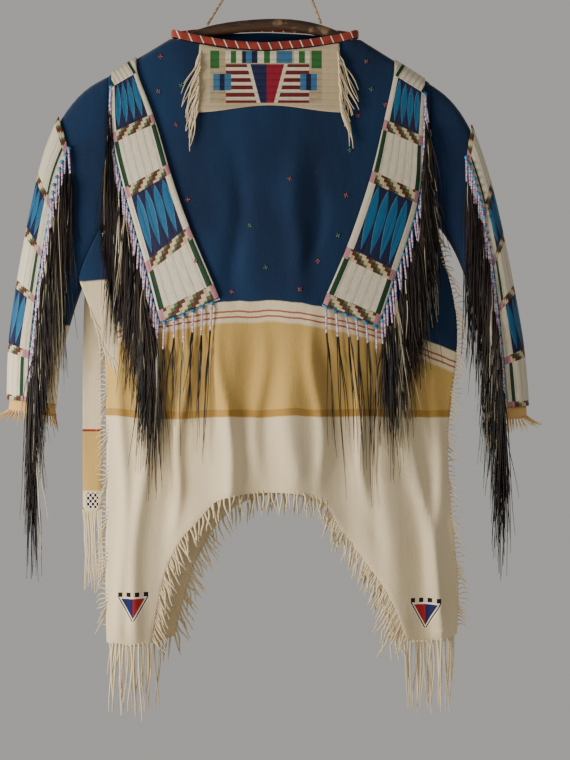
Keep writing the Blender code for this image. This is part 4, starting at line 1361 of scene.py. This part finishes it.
for name, rows in (("left", LEFT_SLEEVE), ("right", RIGHT_SLEEVE)):
    piece = strands("cuff_cut_" + name, cuff_paths(rows), 0.0012, tan_finish)
    worn_on(piece, "tan_hide", "cuff_fringe_" + name)

# %% [markdown]
# Two small flaps of the left sleeve end in fringe as well: the foreleg tab, long and
# straight, and the underarm point, short along its curved edge.

# %% Tab and underarm fringe
TAB_STRANDS = 16
WING_STRANDS = 26
tab_paths = []
for k in range(TAB_STRANDS):
    x = -0.3225 + 0.032 * k / (TAB_STRANDS - 1)
    start = Vector((x, 0.0045, -1.066))
    fall = random.uniform(0.105, 0.138)
    wave = random.uniform(-0.004, 0.004)
    tab_paths.append([start + Vector((wave * math.sin(4 * t) + 0.004 * t, 0, -fall * t))
                      for t in (0, 0.2, 0.4, 0.6, 0.8, 1)])
wing_paths = []
for k in range(WING_STRANDS):
    share = k / (WING_STRANDS - 1)
    low = -0.733 - 0.085 * math.sin(math.pi * share * 0.62)
    start = Vector((-0.307 + 0.050 * share, -0.0240, low + 0.004))
    fall = random.uniform(0.012, 0.030)
    lean = random.uniform(0.0, 0.010)
    wing_paths.append([start + Vector((lean * t, -0.001 * t, -fall * t)) for t in (0, 0.4, 0.7, 1)])
wing_fringe = worn_on(strands("wing_cut", wing_paths, 0.0014, pale_finish), "pale_hide")
tab_fringe = strands("tab_cut", tab_paths, 0.0015, pale_finish)
worn_on(tab_fringe, "pale_hide", "sleeve_tab_fringe_left")

# %% [markdown]
# Hair locks are tied along a strip's outer edge, close together, and more thinly along
# its lower end. Their roots are found by walking down the edge in small steps and
# putting one down whenever the way since the last one is long enough.

# %% Lock roots
SHOULDER_SPACING = 0.0135
SLEEVE_SPACING = 0.0125
STEPS_DOWN = 300
STEPS_IN_ALL = 400
THIN_LOCK = 0.22
SLEEVE_LOCK = 0.75


def lock_roots(rows, spacing):
    """Roots along the outer edge of a strip, full, and its lower end, thin."""
    roots = []
    walked = spacing
    before = None
    for k in range(STEPS_IN_ALL):
        key = k / STEPS_DOWN
        if key <= 1:
            x, z = edge_point(rows, key, 1.03)
        else:
            x, z = edge_point(rows, 1.0, 1.02 - (key - 1) * 3)
            z -= 0.004
        if before is not None:
            walked += math.hypot(x - before[0], z - before[1])
        before = (x, z)
        if walked >= spacing * (1 if key <= 1 else 1.25):
            walked = 0.0
            upper = 0.45 + 0.55 * min(key / 0.35, 1.0)
            roots.append((x, z, upper if key <= 0.97 else THIN_LOCK))
    return roots


def sleeve_roots(rows, spacing):
    """Roots along the inner edge of a sleeve's strip, on the front."""
    roots = []
    walked = spacing
    before = None
    for k in range(STEPS_DOWN):
        key = 0.18 + 0.80 * k / (STEPS_DOWN - 1)
        radius = look_up(rows, key, 5)
        around = SLEEVE_STRIP_INNER - SLEEVE_STRIP_TURN * key
        reach = radius + around - radius * math.pi / 2 + 0.004
        x0, z0 = edge_point(rows, key, 0)
        x1, z1 = edge_point(rows, key, 1)
        wide = math.hypot(x1 - x0, z1 - z0)
        x, z = edge_point(rows, key, reach / wide)
        if before is not None:
            walked += math.hypot(x - before[0], z - before[1])
        before = (x, z)
        if walked >= spacing:
            walked = 0.0
            roots.append((x, z, SLEEVE_LOCK))
    return roots


print("locks on the left strip", len(lock_roots(LEFT_STRIP, SHOULDER_SPACING)))

# %% [markdown]
# A lock is a blue glass bead at the edge, a stem wrapped in lilac and white, and a bundle
# of horsehair. The bundle is many thin splines that start together, spread a little and
# end at different lengths. Fine hair catches the light as real hair does, where one
# solid shape would look like a tassel. Some locks mix in pale hair.

# %% Hair locks
HAIRS = 26
PONY_BEAD = 0.0036
STEM_RADIUS = 0.0019
HAIR_RADIUS = 0.0009
PALE_RADIUS = 0.0008


def add_bead(bm, place, radius, around, down):
    """One glass bead, as a small sphere."""
    ball = bmesh.ops.create_uvsphere(bm, u_segments=around, v_segments=down, radius=radius)["verts"]
    bmesh.ops.translate(bm, verts=ball, vec=place)


def bundle(root, face, lean, fall, count, clear):
    """Hairs of one lock, from the stem's lower end."""
    paths = []
    for _ in range(count):
        spread = random.gauss(0, 0.0035 + 0.00022 * count)
        start = root + Vector((random.uniform(-0.0016, 0.0016), 0, random.uniform(-0.002, 0.003)))
        paths.append(hang(start, face, fall * random.uniform(0.55, 1.05), lean + spread,
                          clear + random.uniform(-0.003, 0.003), 6, 0.002, random.uniform(0, 6)))
    return paths


def locks(name, roots, face, lean, fall, pale_share, node):
    """Beads, stems and hair of one row of locks, as three or four pieces."""
    bm = bmesh.new()
    stems = []
    dark = []
    pale = []
    for number, (x, z, weight) in enumerate(roots):
        y = surface_y(x, z, face)
        if y is None:
            y = surface_y(x, z + 0.012, face) or face * 0.02
        root = Vector((x, y + face * 0.003, z))
        add_bead(bm, root, PONY_BEAD, 10, 6)
        long_stem = random.uniform(0.030, 0.046)
        tilt = lean * 0.25 + random.uniform(-0.003, 0.003)
        stem = hang(root, face, long_stem, tilt, 0.006, 4)
        stems.append(stem)
        count = max(4, int(HAIRS * weight * random.uniform(0.55, 1.25)))
        hair = bundle(stem[-1], face, lean * 0.75 + random.uniform(-0.008, 0.008),
                      fall * random.uniform(0.72, 1.12), count, 0.007 + 0.003 * (number % 2))
        for path in hair:
            (pale if random.random() < pale_share(number, len(roots)) else dark).append(path)
    worn_on(shaped(name + "_beads", bm, glass_finish), "hair")
    worn_on(strands(name + "_stems", stems, STEM_RADIUS, stem_finish, sides=1, tip=0.8), "hair")
    worn_on(strands(name + "_hair", dark, HAIR_RADIUS, hair_finish, tip=0.3), "hair", node)
    if pale:
        worn_on(strands(name + "_pale_hair", pale, PALE_RADIUS, pale_hair, tip=0.3), "hair")


print("each full lock has about", HAIRS, "hairs")

# %% [markdown]
# Where the pale hair stands differs from row to row: a few locks on the shoulders, the
# lower part of the right sleeve and the upper part of the left one. A short function
# for each gives a lock's share of pale hair from its number in the row.

# %% Rows of locks


def few_pale(number, total):
    """One lock in nine is mostly pale."""
    return 0.55 if number % 9 == 4 else 0.03


def lower_pale(number, total):
    """Every third lock in the lower part of the row is mostly pale."""
    share = number / total
    return 0.65 if 0.35 < share < 0.75 and number % 3 == 0 else 0.04


SHOULDER_FALL = 0.24
SLEEVE_FALL = 0.27
for face, side in ((-1, "front"), (1, "rear")):
    locks("locks_left_" + side, lock_roots(LEFT_STRIP, SHOULDER_SPACING), face,
          -0.006, SHOULDER_FALL, few_pale, "shoulder_locks_left")
    locks("locks_right_" + side, lock_roots(RIGHT_STRIP, SHOULDER_SPACING), face,
          0.012, SHOULDER_FALL, few_pale, "shoulder_locks_right")


def upper_pale(number, total):
    """Every second lock in the upper part of the row is mostly pale."""
    share = number / total
    return 0.75 if 0.18 < share < 0.5 and number % 2 == 0 else 0.06


locks("locks_left_sleeve", sleeve_roots(LEFT_SLEEVE, SLEEVE_SPACING), -1, 0.006, SLEEVE_FALL,
      upper_pale, "sleeve_locks_left")
locks("locks_right_sleeve", sleeve_roots(RIGHT_SLEEVE, SLEEVE_SPACING), -1, -0.006, SLEEVE_FALL,
      lower_pale, "sleeve_locks_right")

# %% [markdown]
# The locks are tied to a narrow rolled edge of pale blue hide along each strip. A thick
# untapered strand along the strip's outline is enough for it.

# %% Rolled edges


def rolled_edge(points, face):
    """The outline laid on the cloth."""
    path = []
    for x, z in points:
        y = surface_y(x, z, face)
        if y is not None:
            path.append(Vector((x, y + face * 0.0008, z)))
    return path


edge_finish = mottled("edge_hide", srgb(142, 164, 182), srgb(52, 92, 134), 120.0, 0.8)
edges = []
for rows in (LEFT_STRIP, RIGHT_STRIP):
    line = [edge_point(rows, k / 40, 1.012) for k in range(2, 41)]
    line += [(x, z - 0.0015) for x, z in (edge_point(rows, 1.0, 1.0 - k / 10) for k in range(1, 11))]
    edges += [rolled_edge(line, -1), rolled_edge(line, 1)]
worn_on(strands("rolled_edges", edges, 0.0016, edge_finish, sides=1, tip=1.0), "hair")

# %% [markdown]
# Small bead flowers are scattered over the blue chest: four beads round a middle one.
# Each is a few real spheres, because they stand out of the hide. Their places were read
# from the photograph, in its own pixels, and are turned to metres here.

# %% Bead flowers
PIXEL = 0.00165
MIDDLE_PIXEL = 276
PIXELS_ABOVE = 135
PETAL_REACH = 0.0026
FLOWER_BEAD = 0.0012
FLOWERS = [
    (160, 55), (158, 90), (181, 84), (176, 124), (367, 60), (372, 88), (358, 115), (386, 104),
    (350, 150), (196, 262), (232, 292), (266, 268), (300, 290), (318, 262), (338, 236), (346, 196),
    (188, 200), (250, 226), (290, 180),
]
petal_finish = mottled("petal_beads", srgb(196, 92, 104), srgb(128, 30, 44), 260.0, 0.25)
leaf_finish = mottled("leaf_beads", srgb(92, 140, 96), srgb(30, 80, 50), 260.0, 0.25)
for name, finish, kind in (("petals", petal_finish, 0), ("leaves", leaf_finish, 1)):
    bm = bmesh.new()
    for number, (px, py) in enumerate(FLOWERS):
        turn = 0.6 * number
        for arm in range(5):
            if (arm == 4 or number % 3 == 2) != bool(kind):
                continue
            reach = 0.0 if arm == 4 else PETAL_REACH
            x = (px - MIDDLE_PIXEL) * PIXEL + reach * math.cos(turn + arm * math.pi / 2)
            z = -(py + PIXELS_ABOVE) * PIXEL + reach * math.sin(turn + arm * math.pi / 2)
            y = surface_y(x, z, -1) or CHEST_Y
            add_bead(bm, (x, y - FLOWER_BEAD / 2, z), FLOWER_BEAD, 8, 5)
    worn_on(shaped("flower_" + name, bm, finish), "beadwork")
print(len(FLOWERS), "bead flowers")

# %% [markdown] Every cloth piece and its fringe is made by now.

print("cloth pieces made")

# %% [markdown]
# All pieces were made at the script's own heights. Now their meshes move up to the
# frame's. The meshes move and not the objects, so that every object stays at the origin.

# %% Lift to the frame
lifted = [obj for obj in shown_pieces() if "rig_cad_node" not in obj]
for obj in lifted:
    obj.data.transform(Matrix.Translation((0, 0, RISE)))
print(len(lifted), "pieces lifted")

# %% [markdown]
# A pale floor under the hanging shirt, a pale world that stands for the wall,
# a large soft key light from the left and a weaker fill.

# %% Stage and light
FLOOR_HEIGHT = -1.95
FLOOR_REACH = 1.0
floor_finish, shader, wires = new_finish("floor", 0.9)
shader.inputs["Base Color"].default_value = (0.88, 0.86, 0.83, 1)
bm = bmesh.new()
bmesh.ops.create_grid(bm, x_segments=1, y_segments=1, size=FLOOR_REACH)
floor = shaped("floor", bm, floor_finish)
floor.location = (0, 0, FLOOR_HEIGHT)

world = bpy.data.worlds.new("studio")
bpy.context.scene.world = world
world.use_nodes = True
background = world.node_tree.nodes["Background"]
background.inputs["Color"].default_value = (0.86, 0.84, 0.80, 1)
background.inputs["Strength"].default_value = 0.46


def lamp(name, place, target, size, power):
    """A square area light that looks at its target."""
    data = bpy.data.lights.new(name, "AREA")
    data.shape = "RECTANGLE"
    data.size = size
    data.size_y = size
    data.energy = power
    data.color = (1.0, 0.95, 0.87)
    obj = placed(name, data)
    obj.location = place
    way = Vector(target) - Vector(place)
    obj.rotation_euler = way.to_track_quat("-Z", "Y").to_euler()


lamp("key", (-1.30, -0.75, -0.85), (0, 0, -0.78), 0.6, 34)
lamp("fill", (0.2, -2.8, 0.3), (0, 0, -0.8), 1.2, 4)
print("lights set")
